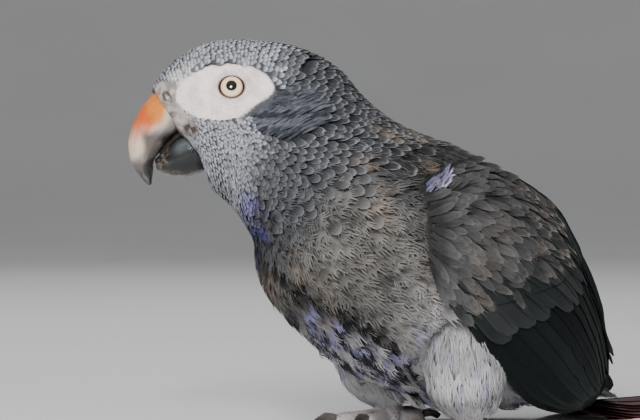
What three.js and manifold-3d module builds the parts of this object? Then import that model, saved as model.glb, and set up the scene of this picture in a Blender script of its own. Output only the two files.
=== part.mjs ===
// A Timneh grey parrot at life size, standing with its head turned to its right.
// Millimetres, +Z up. The body faces -Y and the bird's own left is +X.
// Every piece is a three.js sphere whose points are laid onto a form: an oval body, a blade or a tube.
// manifold-3d parts the pieces from each other, with a thin gap wherever two of them meet.

import * as THREE from "three";
import { mergeVertices } from "three/addons/utils/BufferGeometryUtils.js";
import Module from "manifold-3d";

const wasm = await Module();
wasm.setup();

// Driving dimensions
const GAP = 0.35; // between pieces that meet
const MERGE = 1e-3; // vertices closer than this are one
const HEAD_TURN = THREE.MathUtils.degToRad(-40); // to the bird's right
const NECK_AXIS_Y = -20.9; // the head turns about an upright line through here
const NECK_LEAN = THREE.MathUtils.degToRad(30); // the twist runs up a line that leans this far forwards
const TWIST = [58, 103]; // where the twist begins and ends, measured up that line
const EYE_RADIUS = 6;
const EYE = [10.3, -64.2, 108.3]; // the left eye's centre before the head is turned
const NOSTRIL = [6.2, -84.2, 107]; // likewise
const NOSTRIL_RADIUS = 1.4;
const WING_HALF_THICKNESS = [3, 1]; // at the wrist and at the feather ends
const RIGHT_WING_SHIFT = [0, -5, -1]; // the right wing is held a little forwards
const TAIL_PAIRS = 6;
const TAIL_LENGTH = 84;
const TAIL_FEATHER_HALF = 8.5; // half the width of one feather
const TAIL_THICKNESS = 0.55;
const TAIL_LAYER = TAIL_THICKNESS + 0.3; // from one feather to the next
const TAIL_SPREAD = THREE.MathUtils.degToRad(0.7); // between one feather and the next
const FOOT = [23, -1]; // x and y of the left foot's middle
const RIGHT_LEG_SHIFT = [0, 8, 0]; // the right foot stands a little behind the left
const TOE_RADIUS = 2.9;
const FLOOR_FLAT = 0.4; // how much of each toe is taken off, so that it stands flat

// Finishes
const finish = (color, roughness = 0.8) => new THREE.MeshStandardMaterial({ color, roughness, metalness: 0 });
const plumageGrey = finish(0x6c6d70);
const headGrey = finish(0x85878b);
const thighDown = finish(0xb4b3b4);
const covertGrey = finish(0x4c4b49);
const flightFeather = finish(0x1d2625, 0.6);
const tailMaroon = finish(0x3a1a1a, 0.6);
const footSkin = finish(0x7d716d);
const clawHorn = finish(0x1d1c1c, 0.35);
const cereSkin = finish(0xcfc6c4, 0.6);
const upperHorn = finish(0xc9986f, 0.35);
const lowerHorn = finish(0x2a2c2e, 0.3);
const eyeGloss = finish(0xf0dcae, 0.1);

// Solids

const clamp01 = (value) => THREE.MathUtils.clamp(value, 0, 1);

// A three.js sphere whose points are moved to place(around, along), both from 0 to 1, as one closed geometry.
function wrapped(aroundSteps, alongSteps, place) {
  const sphere = new THREE.SphereGeometry(1, aroundSteps, alongSteps);
  const { position, uv } = sphere.attributes;
  const point = new THREE.Vector3();
  for (let i = 0; i < position.count; i++) {
    const along = clamp01(1 - uv.getY(i));
    const tip = along < 1e-6 || along > 1 - 1e-6;
    place(tip ? 0 : uv.getX(i) % 1, along, point);
    position.setXYZ(i, point.x, point.y, point.z);
  }
  sphere.deleteAttribute("normal");
  sphere.deleteAttribute("uv");
  return mergeVertices(sphere, MERGE);
}

// Six times the volume that a geometry's faces enclose: negative if they point inwards.
function enclosed(geometry) {
  const { position } = geometry.attributes;
  const [a, b, c] = [0, 1, 2].map(() => new THREE.Vector3());
  let total = 0;
  for (let i = 0; i < geometry.index.count; i += 3) {
    a.fromBufferAttribute(position, geometry.index.getX(i));
    b.fromBufferAttribute(position, geometry.index.getX(i + 1));
    c.fromBufferAttribute(position, geometry.index.getX(i + 2));
    total += a.dot(b.cross(c));
  }
  return total;
}

// A closed geometry as a solid, with its surface moved out by grow.
function solid(geometry, grow = 0) {
  const shape = geometry.clone();
  const triVerts = new Uint32Array(shape.index.array);
  if (enclosed(shape) < 0)
    for (let i = 0; i < triVerts.length; i += 3)
      [triVerts[i + 1], triVerts[i + 2]] = [triVerts[i + 2], triVerts[i + 1]];
  shape.setIndex(new THREE.BufferAttribute(triVerts, 1));
  if (grow) {
    shape.computeVertexNormals();
    const { position, normal } = shape.attributes;
    for (let i = 0; i < position.array.length; i++) position.array[i] += grow * normal.array[i];
  }
  const vertProperties = new Float32Array(shape.attributes.position.array);
  return new wasm.Manifold(new wasm.Mesh({ numProp: 3, vertProperties, triVerts }));
}

// The room that a piece takes up in its neighbours: itself and a gap all round.
const pocketOf = (geometry) => solid(geometry, GAP).add(solid(geometry));

// The largest body of a solid, without the crumbs that a cut may leave.
function mainBody(cut) {
  return cut.decompose().reduce((best, body) => (body.volume() > best.volume() ? body : best));
}

const bird = new THREE.Group();

function addNode(name, shape, material) {
  const { numProp, vertProperties, triVerts, numVert } = mainBody(shape).getMesh();
  const points = new Float32Array(numVert * 3);
  for (let i = 0; i < numVert; i++) points.set(vertProperties.subarray(i * numProp, i * numProp + 3), i * 3);
  const geometry = new THREE.BufferGeometry();
  geometry.setAttribute("position", new THREE.BufferAttribute(points, 3));
  geometry.setIndex(new THREE.BufferAttribute(triVerts, 1));
  geometry.computeVertexNormals();
  const mesh = new THREE.Mesh(geometry, material);
  mesh.name = name;
  bird.add(mesh);
}

const cutBy = (shape, cutters) => cutters.reduce((left, cutter) => left.subtract(cutter), shape);
const mirrored = (shape) => shape.mirror([1, 0, 0]);
const bothSides = (shapes) => shapes.concat(shapes.map(mirrored));

// Adds the left piece and its mirror image.
function addPair(name, shape, material) {
  addNode(`${name}_left`, shape, material);
  addNode(`${name}_right`, mirrored(shape), material);
}

// Forms

// How wide a form is near its ends, as a share of its full width: round over the first and last caps.
function roundEnd(along, startCap, endCap = startCap) {
  const into = Math.min(startCap ? along / startCap : 1, endCap ? (1 - along) / endCap : 1);
  return into >= 1 ? 1 : Math.sqrt(Math.max(0, 1 - (1 - into) ** 2));
}

// Steps that crowd towards both ends of a form, where it is rounded.
const eased = (along) => along - (0.75 * Math.sin(2 * Math.PI * along)) / (2 * Math.PI);

// A smooth line through points at equal steps along a form.
function through(points) {
  const line = new THREE.CatmullRomCurve3(points.map(([a, b = 0, c = 0]) => new THREE.Vector3(a, b, c)));
  line.curveType = "catmullrom";
  return (along) => line.getPoint(clamp01(along));
}

// An oval form along the bird's middle plane, as a function of (around, along). Each ring has its top and bottom
// points as [y, z], its half width, and a keel: above 0 the ring is widest over its middle, below 0 under it.
function ovalForm(rings, startCap, endCap = startCap) {
  const top = through(rings.map((ring) => ring.top));
  const bottom = through(rings.map((ring) => ring.bottom));
  const side = through(rings.map((ring) => [ring.half, ring.keel ?? 0]));
  return (around, along, point = new THREE.Vector3()) => {
    const angle = 2 * Math.PI * around;
    const size = roundEnd(along, startCap, endCap);
    const above = top(along);
    const below = bottom(along);
    const { x: half, y: keel } = side(along);
    const rise = (1 + Math.cos(angle) * size) / 2;
    return point.set(
      half * Math.sin(angle) * (1 + keel * Math.cos(angle)) * size,
      THREE.MathUtils.lerp(below.x, above.x, rise),
      THREE.MathUtils.lerp(below.y, above.y, rise),
    );
  };
}

// A bent blade between a leading and a trailing edge, over a crest midway between them.
// Its half thickness is a function of (across, along).
function bladeForm(lines, halfThickness, startCap, endCap, fullness = 0.7) {
  const [leading, crest, trailing] = lines.map(through);
  const surface = (across, along) => {
    const [from, over, to] = [leading(along), crest(along), trailing(along)];
    const control = over.clone().multiplyScalar(2).addScaledVector(from, -0.5).addScaledVector(to, -0.5);
    return new THREE.QuadraticBezierCurve3(from, control, to).getPoint(across);
  };
  const step = 0.02;
  return (around, along, point = new THREE.Vector3()) => {
    const angle = 2 * Math.PI * around;
    const size = roundEnd(along, startCap, endCap);
    const across = 0.5 - 0.5 * Math.cos(angle) * size;
    const across0 = THREE.MathUtils.clamp(across, step, 1 - step);
    const along0 = THREE.MathUtils.clamp(along, step, 1 - step);
    const out = surface(across0 + step, along0).sub(surface(across0 - step, along0));
    out.cross(surface(across0, along0 + step).sub(surface(across0, along0 - step))).normalize();
    const lift = Math.sign(Math.sin(angle)) * Math.abs(Math.sin(angle)) ** fullness;
    return point.copy(surface(across, along)).addScaledVector(out, lift * size * halfThickness(across, along));
  };
}

// A tube through points [x, y, z, radius], with round ends. It can be flattened.
function tubeForm(points, cap = 0.12, flatness = 1) {
  const line = new THREE.CatmullRomCurve3(points.map(([x, y, z]) => new THREE.Vector3(x, y, z)));
  const thickness = through(points.map((entry) => [entry[3]]));
  const reference = Math.abs(line.getTangent(0.5).z) > 0.8 ? new THREE.Vector3(0, 1, 0) : upright;
  return (around, along, point = new THREE.Vector3()) => {
    const tangent = line.getTangent(along);
    const side = new THREE.Vector3().crossVectors(tangent, reference).normalize();
    const up = new THREE.Vector3().crossVectors(side, tangent);
    const radius = thickness(along).x * roundEnd(along, cap);
    const angle = 2 * Math.PI * around;
    point.copy(line.getPoint(along)).addScaledVector(side, radius * Math.sin(angle));
    return point.addScaledVector(up, radius * flatness * Math.cos(angle));
  };
}

const asItIs = (point) => point;
const shapeOf = (form, aroundSteps, alongSteps, change = asItIs) =>
  wrapped(aroundSteps, alongSteps, (around, along, point) => change(form(around, eased(along), point)));

// The part of a form from one ring to another, closed by a face across each.
function sliceOf(form, [from, to], aroundSteps, alongSteps, change = asItIs) {
  return wrapped(aroundSteps, alongSteps + 2, (around, along, point) => {
    const row = along * (alongSteps + 2) - 1;
    const ring = THREE.MathUtils.lerp(from, to, clamp01(row / alongSteps));
    if (row > -0.5 && row < alongSteps + 0.5) return change(form(around, ring, point));
    return change(form(0, ring, point).add(form(0.5, ring)).multiplyScalar(0.5));
  });
}

// The neck twists about an upright axis, more and more the higher and the further forwards a point is.
const upright = new THREE.Vector3(0, 0, 1);
const neckAxis = new THREE.Vector3(0, NECK_AXIS_Y, 0);
const neckLine = new THREE.Vector3(0, -Math.sin(NECK_LEAN), Math.cos(NECK_LEAN));
const twistShare = (point) => THREE.MathUtils.smoothstep(point.dot(neckLine), ...TWIST);
const turnBy = (point, share) => point.sub(neckAxis).applyAxisAngle(upright, HEAD_TURN * share).add(neckAxis);
const twisted = (point) => turnBy(point, twistShare(point));
const turned = (point) => turnBy(point, 1);

// Head, neck and trunk are one form, from the bill's root to the tail's

const bodyForm = ovalForm([
  { top: [-91.2, 105.4], bottom: [-77.8, 93.0], half: 9.8 }, // inside the bill
  { top: [-88.2, 112.6], bottom: [-75.0, 88.6], half: 10.4 },
  { top: [-84.0, 118.0], bottom: [-73.2, 83.8], half: 12 }, // behind the cere
  { top: [-79.6, 120.8], bottom: [-71.6, 79.2], half: 13.6, keel: 0.02 },
  { top: [-75.0, 123.0], bottom: [-67.0, 74.3], half: 15, keel: 0.02 },
  { top: [-64.9, 124.8], bottom: [-62.4, 70.0], half: 16.9 }, // the eyes
  { top: [-54.4, 124.0], bottom: [-59.8, 65.2], half: 19, keel: -0.05 },
  { top: [-42.2, 121.6], bottom: [-57.8, 60.2], half: 21.5, keel: -0.1 },
  { top: [-30.6, 115.8], bottom: [-57.0, 54.5], half: 24.5, keel: -0.1 }, // the nape
  { top: [-21.6, 105.8], bottom: [-56.0, 49.0], half: 28.5, keel: -0.1 },
  { top: [-8.4, 97.0], bottom: [-53.0, 43.0], half: 33.5, keel: -0.12 }, // the shoulders
  { top: [12.5, 91.0], bottom: [-46.3, 36.0], half: 37, keel: -0.15 },
  { top: [31.4, 81.5], bottom: [-35.4, 27.5], half: 38.5, keel: -0.18 }, // the breast
  { top: [46.0, 69.4], bottom: [-20.4, 17.6], half: 38, keel: -0.18 },
  { top: [56.4, 53.4], bottom: [3, 10.2], half: 34.5, keel: -0.16 },
  { top: [62.7, 36.2], bottom: [28, 8.6], half: 28, keel: -0.12 }, // the vent
  { top: [66.9, 21.0], bottom: [49, 7.0], half: 18 }, // the rump
], 0.045, 0.06);
const BODY_PARTS = { cere: [0, 0.128], head: [0.13, 0.43], neck: [0.433, 0.56], trunk: [0.563, 1] }; // shares of it
const BODY_STEPS = { cere: 3, head: 12, neck: 5, trunk: 17 };
const bodyPart = (name) => solid(sliceOf(bodyForm, BODY_PARTS[name], 20, BODY_STEPS[name], twisted));

// Wings, each one blade from the wrist to the ends of its secondaries, closed over the body's side

const wingForm = bladeForm([
  // leading edge
  [[36, -30, 55], [38.5, -24, 46], [39, -12, 32], [36.5, 3, 19], [32.5, 15, 11.5], [29.5, 27, 7.5], [27, 38, 6]],
  // crest
  [[37.5, -32, 68], [40.5, -12, 66], [42, 8, 56], [41, 27, 40], [35.5, 42, 24], [30, 50, 14], [24, 57, 9.5]],
  // trailing edge
  [[32, -27, 81], [27, -4, 87], [17, 25, 81], [10, 49, 71], [7, 65.5, 54], [7, 75.5, 36], [10, 78, 20]],
], (across, along) => THREE.MathUtils.lerp(...WING_HALF_THICKNESS, clamp01(along * 1.1)), 0.07, 0.07);
const wingGeometry = shapeOf(wingForm, 12, 15);
const leftWing = solid(wingGeometry);
const rightWing = mirrored(leftWing).translate(RIGHT_WING_SHIFT);
const leftWingPocket = pocketOf(wingGeometry);
const wingPockets = [leftWingPocket, mirrored(leftWingPocket).translate(RIGHT_WING_SHIFT)];

// The primaries lie inside the secondaries, and their tips show beyond them.
const primariesForm = bladeForm([
  [[26, 26, 13], [19, 50, 10], [12, 69, 9], [8.5, 80, 9]],
  [[26, 31, 18], [18, 55, 14], [11, 73, 12], [7.5, 82, 11]],
  [[22, 38, 25], [14, 62, 19], [9, 76, 16], [6.5, 83, 13]],
], () => 0.8, 0.1, 0.2);
const primariesGeometry = shapeOf(primariesForm, 6, 7);
const leftPrimaries = solid(primariesGeometry).subtract(leftWingPocket);
const rightPrimaries = mirrored(leftPrimaries).translate(RIGHT_WING_SHIFT);
const primariesPocket = pocketOf(primariesGeometry);
const primariesPockets = [primariesPocket, mirrored(primariesPocket).translate(RIGHT_WING_SHIFT)];

// Across each wing, the greater coverts end and the secondaries go on.
const covertsFace = new THREE.Vector3(0, 0.2, -0.98).normalize().toArray();
const COVERTS_REACH = -44; // measured down that direction
for (const [side, wing, primaries] of [["left", leftWing, leftPrimaries], ["right", rightWing, rightPrimaries]]) {
  addNode(`wing_coverts_${side}`, wing.trimByPlane(covertsFace.map((n) => -n), -COVERTS_REACH), covertGrey);
  addNode(`secondaries_${side}`, wing.trimByPlane(covertsFace, COVERTS_REACH + GAP), flightFeather);
  addNode(`primaries_${side}`, primaries, flightFeather);
}

// Tail, closed and flat on the floor: a stack of feathers on each side, the outermost lowest

const tailFeathers = [];
for (let pair = 0; pair < TAIL_PAIRS; pair++) {
  const layer = (TAIL_PAIRS - 1 - pair) * TAIL_LAYER + TAIL_THICKNESS / 2;
  const angle = pair * TAIL_SPREAD;
  const root = 4.6 + 0.8 * pair;
  const length = TAIL_LENGTH - 1.5 * pair;
  const spot = (share, height, half) => [
    root + length * share * Math.sin(angle), 57 + length * share * Math.cos(angle), layer + height, half,
  ];
  const feather = tubeForm([
    spot(0, 6.5, 5), spot(0.14, 2.6, 7.5), spot(0.28, 0.4, TAIL_FEATHER_HALF), spot(0.42, 0, TAIL_FEATHER_HALF),
    spot(0.57, 0, TAIL_FEATHER_HALF), spot(0.71, 0, TAIL_FEATHER_HALF), spot(0.86, 0, TAIL_FEATHER_HALF),
    spot(1, 0, 7.5),
  ], 0.08, TAIL_THICKNESS / 2 / TAIL_FEATHER_HALF);
  tailFeathers.push(solid(shapeOf(feather, 6, 7)).trimByPlane([1, 0, 0], GAP / 2).trimByPlane([0, 0, 1], 0));
}
tailFeathers.forEach((feather, pair) => addPair(`tail_feather_${pair + 1}`, feather, tailMaroon));
const tailPocket = tubeForm([
  [0, 52, 10.4, 22], [0, 62, 7, 22], [0, 72, 4.2, 22], [0, 84, 2.9, 22], [0, 96, 2.5, 22],
], 0.02, 0.2);
const tailCoverts = ovalForm([
  { top: [56, 30], bottom: [44, 8], half: 15 },
  { top: [67, 20], bottom: [58, 5], half: 16 },
  { top: [77, 12.5], bottom: [70, 2.2], half: 15 },
  { top: [87, 7.4], bottom: [80, 1.0], half: 12 },
], 0.15);

// Legs: feathered thighs, short scaled feet, two toes forwards and two back, each with its claw

const thighGeometry = shapeOf(tubeForm([
  [25, -9, 47, 9], [26, -7, 34, 14], [25.5, -4, 21, 13.5], [24, -1, 12.5, 10.5], [23.5, 0, 7.2, 7],
], 0.1), 10, 9);
const footPoint = ([x, y, z], ...more) => [FOOT[0] + x, FOOT[1] + y, z, ...more];
const footForm = tubeForm([
  footPoint([0.4, 2, 15], 4), footPoint([0.2, 1.2, 9.5], 3.9), footPoint([0, 0.2, 4], 4.6), footPoint([0, 0, -1.2], 4.2),
], 0.2);

// Each toe's direction from straight ahead, positive outwards, with its length and its claw's.
const toes = [
  { name: "outer_front", degrees: 10, length: 22, claw: 9 },
  { name: "inner_front", degrees: -18, length: 16, claw: 8 },
  { name: "outer_rear", degrees: 156, length: 20, claw: 8.5 },
  { name: "inner_rear", degrees: 205, length: 13, claw: 7 },
];

const foot = solid(shapeOf(footForm, 8, 6));
const footPocket = pocketOf(shapeOf(footForm, 8, 6));
const legPieces = [];
for (const toe of toes) {
  const angle = THREE.MathUtils.degToRad(toe.degrees);
  const reach = (out, z, radius) => footPoint([out * Math.sin(angle), -out * Math.cos(angle), z], radius);
  const lie = TOE_RADIUS - FLOOR_FLAT;
  const toeForm = tubeForm([
    reach(1.5, lie + 0.5, 3.2), reach(toe.length * 0.3, lie + 0.4, TOE_RADIUS), reach(toe.length * 0.55, lie + 0.2, 2.8),
    reach(toe.length * 0.8, lie + 0.1, 2.7), reach(toe.length, lie + 0.1, 2.2),
  ], 0.16);
  const clawForm = tubeForm([
    reach(toe.length - 2.5, lie + 0.9, 1.5), reach(toe.length + toe.claw * 0.25, lie + 1.6, 1.5),
    reach(toe.length + toe.claw * 0.6, lie + 0.2, 1.1), reach(toe.length + toe.claw * 0.8, 0.7, 0.35),
  ], 0.12);
  const toeGeometry = shapeOf(toeForm, 6, 6);
  const clawGeometry = shapeOf(clawForm, 6, 5);
  legPieces.push({
    toe: toe.name,
    whole: solid(toeGeometry),
    pocket: pocketOf(toeGeometry),
    clawSolid: solid(clawGeometry),
    clawPocket: pocketOf(clawGeometry),
  });
}

// Bill, cere and eyes are laid out facing straight ahead and turned with the head

const upperBillForm = ovalForm([
  { top: [-83.0, 110.6], bottom: [-73.2, 99.6], half: 8.6, keel: -0.42 },
  { top: [-87.6, 109.9], bottom: [-77.6, 98.4], half: 8.6, keel: -0.38 },
  { top: [-92.2, 105.2], bottom: [-81.6, 96.0], half: 7.9, keel: -0.25 },
  { top: [-95.9, 99.2], bottom: [-84.8, 92.6], half: 7.0, keel: -0.1 },
  { top: [-97.5, 92.6], bottom: [-87.4, 89.2], half: 5.7 },
  { top: [-96.6, 86.8], bottom: [-89.1, 86.6], half: 4.4 },
  { top: [-93.7, 82.1], bottom: [-89.5, 83.0], half: 2.8 },
  { top: [-91.0, 79.3], bottom: [-90.0, 79.3], half: 1.0 },
], 0.06, 0.04);
const lowerBillForm = ovalForm([
  { top: [-74.6, 97.6], bottom: [-67.8, 87.0], half: 7.0 },
  { top: [-78.5, 96.8], bottom: [-72.4, 84.1], half: 7.9 },
  { top: [-81.6, 95.1], bottom: [-76.8, 82.2], half: 7.8 },
  { top: [-84.4, 92.6], bottom: [-81.2, 81.7], half: 7.1 },
  { top: [-86.8, 89.6], bottom: [-85.2, 82.6], half: 5.8 },
  { top: [-89.3, 87.6], bottom: [-89.3, 84.2], half: 4.2 },
], 0.1);
const upperBillGeometry = shapeOf(upperBillForm, 12, 13, turned);
const lowerBillGeometry = shapeOf(lowerBillForm, 12, 8, turned);
const upperBillPocket = pocketOf(upperBillGeometry);
const lowerBillPocket = pocketOf(lowerBillGeometry);
addNode("upper_bill", solid(upperBillGeometry).subtract(lowerBillPocket), upperHorn);
addNode("lower_bill", solid(lowerBillGeometry), lowerHorn);

const ball = (radius, [x, y, z], steps) =>
  wrapped(steps, (steps * 2) / 3, (around, along, point) => {
    point.setFromSphericalCoords(radius, Math.PI * along, 2 * Math.PI * around);
    turned(point.add(new THREE.Vector3(x, y, z)));
  });
const across = ([x, y, z]) => [-x, y, z];
const eyeGeometries = [ball(EYE_RADIUS, EYE, 12), ball(EYE_RADIUS, across(EYE), 12)];
const eyePockets = eyeGeometries.map(pocketOf);
addNode("eye_left", solid(eyeGeometries[0]), eyeGloss);
addNode("eye_right", solid(eyeGeometries[1]), eyeGloss);
const nostrils = [NOSTRIL, across(NOSTRIL)].map((centre) => solid(ball(NOSTRIL_RADIUS, centre, 6)));

// Where the pieces of the body give way to the others

const thigh = solid(thighGeometry);
const thighPocket = pocketOf(thighGeometry);
const rightLeg = (shape) => mirrored(shape).translate(RIGHT_LEG_SHIFT);
const legPockets = [thighPocket, footPocket].flatMap((pocket) => [pocket, rightLeg(pocket)]);
const tailPockets = [solid(shapeOf(tailPocket, 8, 4))];
const covertsGeometry = shapeOf(tailCoverts, 10, 6);
const covertsPocket = pocketOf(covertsGeometry);

const headPockets = [...eyePockets, upperBillPocket, lowerBillPocket];
addNode("cere", cutBy(bodyPart("cere"), [upperBillPocket, lowerBillPocket, ...nostrils]), cereSkin);
addNode("head", cutBy(bodyPart("head"), headPockets), headGrey);
addNode("neck", cutBy(bodyPart("neck"), wingPockets), plumageGrey);
addNode(
  "trunk",
  cutBy(bodyPart("trunk"), [...wingPockets, ...primariesPockets, ...legPockets, covertsPocket, ...tailPockets]),
  plumageGrey,
);
addNode("tail_coverts", cutBy(solid(covertsGeometry), [...wingPockets, ...primariesPockets, ...tailPockets]), flightFeather);
addNode("thigh_left", cutBy(thigh, [wingPockets[0], footPocket]), thighDown);
addNode("thigh_right", cutBy(rightLeg(thigh), [wingPockets[1], rightLeg(footPocket)]), thighDown);

// Each toe gives way to the foot's pad and to its claw, and the toes to each other at their roots.
function addToLegs(name, shape, material) {
  const grounded = shape.trimByPlane([0, 0, 1], 0);
  addNode(`${name}_left`, grounded, material);
  addNode(`${name}_right`, rightLeg(grounded), material);
}
addToLegs("foot", foot, footSkin);
legPieces.forEach(({ toe, whole, clawSolid, clawPocket }, i) => {
  const before = legPieces.slice(0, i).map((piece) => piece.pocket);
  addToLegs(`toe_${toe}`, cutBy(whole, [footPocket, clawPocket, ...before]), footSkin);
  addToLegs(`claw_${toe}`, clawSolid, clawHorn);
});

// The origin is under the middle of the whole bird, on the floor.
const bounds = new THREE.Box3().setFromObject(bird);
const middle = bounds.getCenter(new THREE.Vector3());
bird.children.forEach((mesh) => mesh.geometry.translate(-middle.x, -middle.y, -bounds.min.z));

export default bird;
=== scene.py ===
# %% [markdown]
# # A Timneh grey parrot, at life size
#
# A stuffed or modelled bird has three layers: a body, a skin over it, and feathers rooted in the skin.
# This lesson builds the same layers round a frame of plain solids, which already have the bird's true
# size and pose. The frame is never moved. The skin goes just inside it, and the feathers fill the room
# between the two, so that their tips end on the frame's surface.

# %% Load the frame
import math

import bmesh
import bpy
import numpy as np
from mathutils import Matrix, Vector
from mathutils.bvhtree import BVHTree
from mathutils.kdtree import KDTree


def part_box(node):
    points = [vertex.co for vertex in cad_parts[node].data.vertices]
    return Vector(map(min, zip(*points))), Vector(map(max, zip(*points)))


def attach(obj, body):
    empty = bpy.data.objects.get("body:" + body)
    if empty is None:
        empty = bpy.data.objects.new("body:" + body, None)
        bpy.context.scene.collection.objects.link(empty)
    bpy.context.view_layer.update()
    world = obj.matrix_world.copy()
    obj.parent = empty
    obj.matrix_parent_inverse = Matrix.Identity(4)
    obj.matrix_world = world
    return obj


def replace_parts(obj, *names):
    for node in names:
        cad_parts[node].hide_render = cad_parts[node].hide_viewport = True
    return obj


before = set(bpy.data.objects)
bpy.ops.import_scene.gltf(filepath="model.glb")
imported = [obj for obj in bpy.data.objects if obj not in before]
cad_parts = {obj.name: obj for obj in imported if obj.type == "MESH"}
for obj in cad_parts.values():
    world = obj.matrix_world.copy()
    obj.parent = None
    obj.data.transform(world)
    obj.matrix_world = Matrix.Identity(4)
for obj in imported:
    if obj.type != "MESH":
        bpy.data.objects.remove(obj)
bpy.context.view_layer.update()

MM = 0.001
UP = np.array((0.0, 0.0, 1.0))
SIDES = ("left", "right")
OUTWARDS = {"left": 1.0, "right": -1.0}


def both_sides(*parts):
    return [f"{part}_{side}" for side in SIDES for part in parts]


# %% [markdown]
# ## Camera, floor and light
#
# The camera stands level with the bird's back and a long way off, as a portrait lens does, so that the
# bill isn't swollen by perspective. It looks at the bird from its left and a little from the front. The
# floor is a plain pale sheet that sweeps up into a round wall. Three soft panels light the bird: a
# large one near the camera, which shows every feather, a weaker one on the far side, and one from above
# and behind that draws the line of the back.

# %% Camera and studio
VIEW_AZIMUTH = math.radians(50)
VIEW_RISE = math.radians(1)
VIEW_DISTANCE = 800 * MM
VIEW_WIDTH = math.radians(14.59)
LOOK_AT = Vector((-17.9, -54.6, 71.3)) * MM
SENSOR = 36.0


def towards(azimuth, rise):
    """The direction from the bird to someone who sees it from this azimuth and height, in radians."""
    return Vector(
        (math.sin(azimuth) * math.cos(rise), -math.cos(azimuth) * math.cos(rise), math.sin(rise))
    )


def aim(thing, place, goal):
    thing.location = place
    thing.rotation_euler = (goal - place).to_track_quat("-Z", "Y").to_euler()
    bpy.context.scene.collection.objects.link(thing)


lens = bpy.data.cameras.new("camera")
lens.sensor_width = SENSOR
lens.lens = SENSOR / 2 / math.tan(VIEW_WIDTH / 2)
lens.clip_start = 0.01
camera = bpy.data.objects.new("camera", lens)
aim(camera, LOOK_AT + VIEW_DISTANCE * towards(VIEW_AZIMUTH, VIEW_RISE), LOOK_AT)
bpy.context.scene.camera = camera


def panel(name, azimuth, rise, distance, width, watts, tint=(1, 1, 1)):
    """A square soft light that faces the bird."""
    light = bpy.data.lights.new(name, "AREA")
    light.size = width
    light.energy = watts
    light.color = tint
    lamp = bpy.data.objects.new(name, light)
    aim(lamp, LOOK_AT + distance * towards(azimuth, rise), LOOK_AT)
    return lamp


key = panel(
    "key_panel", VIEW_AZIMUTH - math.radians(16), math.radians(27), 1.1, 0.55, 15.0, (1.0, 0.985, 0.965)
)
key.visible_glossy = False
panel("catch_panel", VIEW_AZIMUTH - math.radians(7), math.radians(30), 0.78, 0.10, 1.8)
panel("fill_panel", VIEW_AZIMUTH + math.radians(50), math.radians(18), 1.3, 0.9, 4.0, (0.95, 0.97, 1.0))
panel("back_panel", VIEW_AZIMUTH + math.radians(190), math.radians(50), 1.2, 0.6, 7.0)

world = bpy.data.worlds.new("studio")
world.use_nodes = True
world.node_tree.nodes["Background"].inputs["Color"].default_value = (0.80, 0.81, 0.83, 1)
world.node_tree.nodes["Background"].inputs["Strength"].default_value = 0.45
bpy.context.scene.world = world

# %% [markdown]
# ## Small tools
#
# Meshes are made from arrays of points and faces. Every piece rides on the bird's one body.

# %% Helpers for meshes and shader nodes


def linked(name, data):
    """A new object in the scene."""
    thing = bpy.data.objects.new(name, data)
    bpy.context.scene.collection.objects.link(thing)
    return thing


def by_corners(faces):
    """Faces sorted into arrays, one for each number of corners."""
    sizes = sorted({len(face) for face in faces})
    return [np.array([face for face in faces if len(face) == size]) for size in sizes]


def mesh_object(name, points, groups, material):
    """A new smooth object from points in mm and arrays of faces, as by_corners gives them."""
    corners = np.concatenate([group.ravel() for group in groups])
    sizes = np.concatenate([np.full(len(group), group.shape[1]) for group in groups])
    mesh = bpy.data.meshes.new(name)
    mesh.vertices.add(len(points))
    mesh.loops.add(len(corners))
    mesh.polygons.add(len(sizes))
    mesh.vertices.foreach_set("co", (np.asarray(points) * MM).astype(np.float32).ravel())
    mesh.loops.foreach_set("vertex_index", corners.astype(np.int32))
    mesh.polygons.foreach_set("loop_start", (np.cumsum(sizes) - sizes).astype(np.int32))
    mesh.polygons.foreach_set("use_smooth", np.ones(len(sizes), bool))
    mesh.update(calc_edges=True)
    mesh.materials.append(material)
    return linked(name, mesh)


def hand_in(thing):
    """Every piece rides on the bird."""
    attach(thing, "root")
    return thing


bench = {}  # the node tree that is being built and, for a material, its shader


def put(socket, value):
    """A link or a plain value for an input."""
    if isinstance(value, bpy.types.NodeSocket):
        bench["tree"].links.new(value, socket)
    else:
        socket.default_value = value


def add(kind, inputs=None, **settings):
    """A shader node, with values or links for its inputs."""
    node = bench["tree"].nodes.new("ShaderNode" + kind)
    for name, value in settings.items():
        setattr(node, name, value)
    for name, value in (inputs or {}).items():
        put(node.inputs[name], value)
    return node


def sums(operation, *values, clamp=False):
    """The result of a Math node."""
    return add("Math", dict(enumerate(values)), operation=operation, use_clamp=clamp).outputs[0]


def times(*values, clamp=False):
    return sums("MULTIPLY", *values, clamp=clamp)


def ranged(value, low, high, out_low=0.0, out_high=1.0):
    """A value eased from one range to another."""
    inputs = {"Value": value, "From Min": low, "From Max": high, "To Min": out_low, "To Max": out_high}
    return add("MapRange", inputs, interpolation_type="SMOOTHSTEP").outputs["Result"]


def blended(share, first, second, how="MIX"):
    """One colour over another."""
    node = add("Mix", {"Factor": share}, data_type="RGBA", blend_type=how)
    colours = [socket for socket in node.inputs if socket.type == "RGBA"]
    for socket, value in zip(colours, (first, second)):
        put(socket, value if isinstance(value, bpy.types.NodeSocket) else (*value, 1))
    return [socket for socket in node.outputs if socket.type == "RGBA"][0]


def darkened(share, first, second):
    return blended(share, first, second, "MULTIPLY")


def joined_as_vector(**parts):
    return add("CombineXYZ", parts).outputs[0]


def stored(name, output="Fac"):
    """An attribute of the mesh."""
    return add("Attribute", attribute_name=name).outputs[output]


def new_material(name, roughness, specular=0.4):
    material = bpy.data.materials.new(name)
    material.use_nodes = True
    bench["tree"], bench["shader"] = material.node_tree, material.node_tree.nodes["Principled BSDF"]
    wire("Roughness", roughness)
    wire("Specular IOR Level", specular)
    return material


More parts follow.
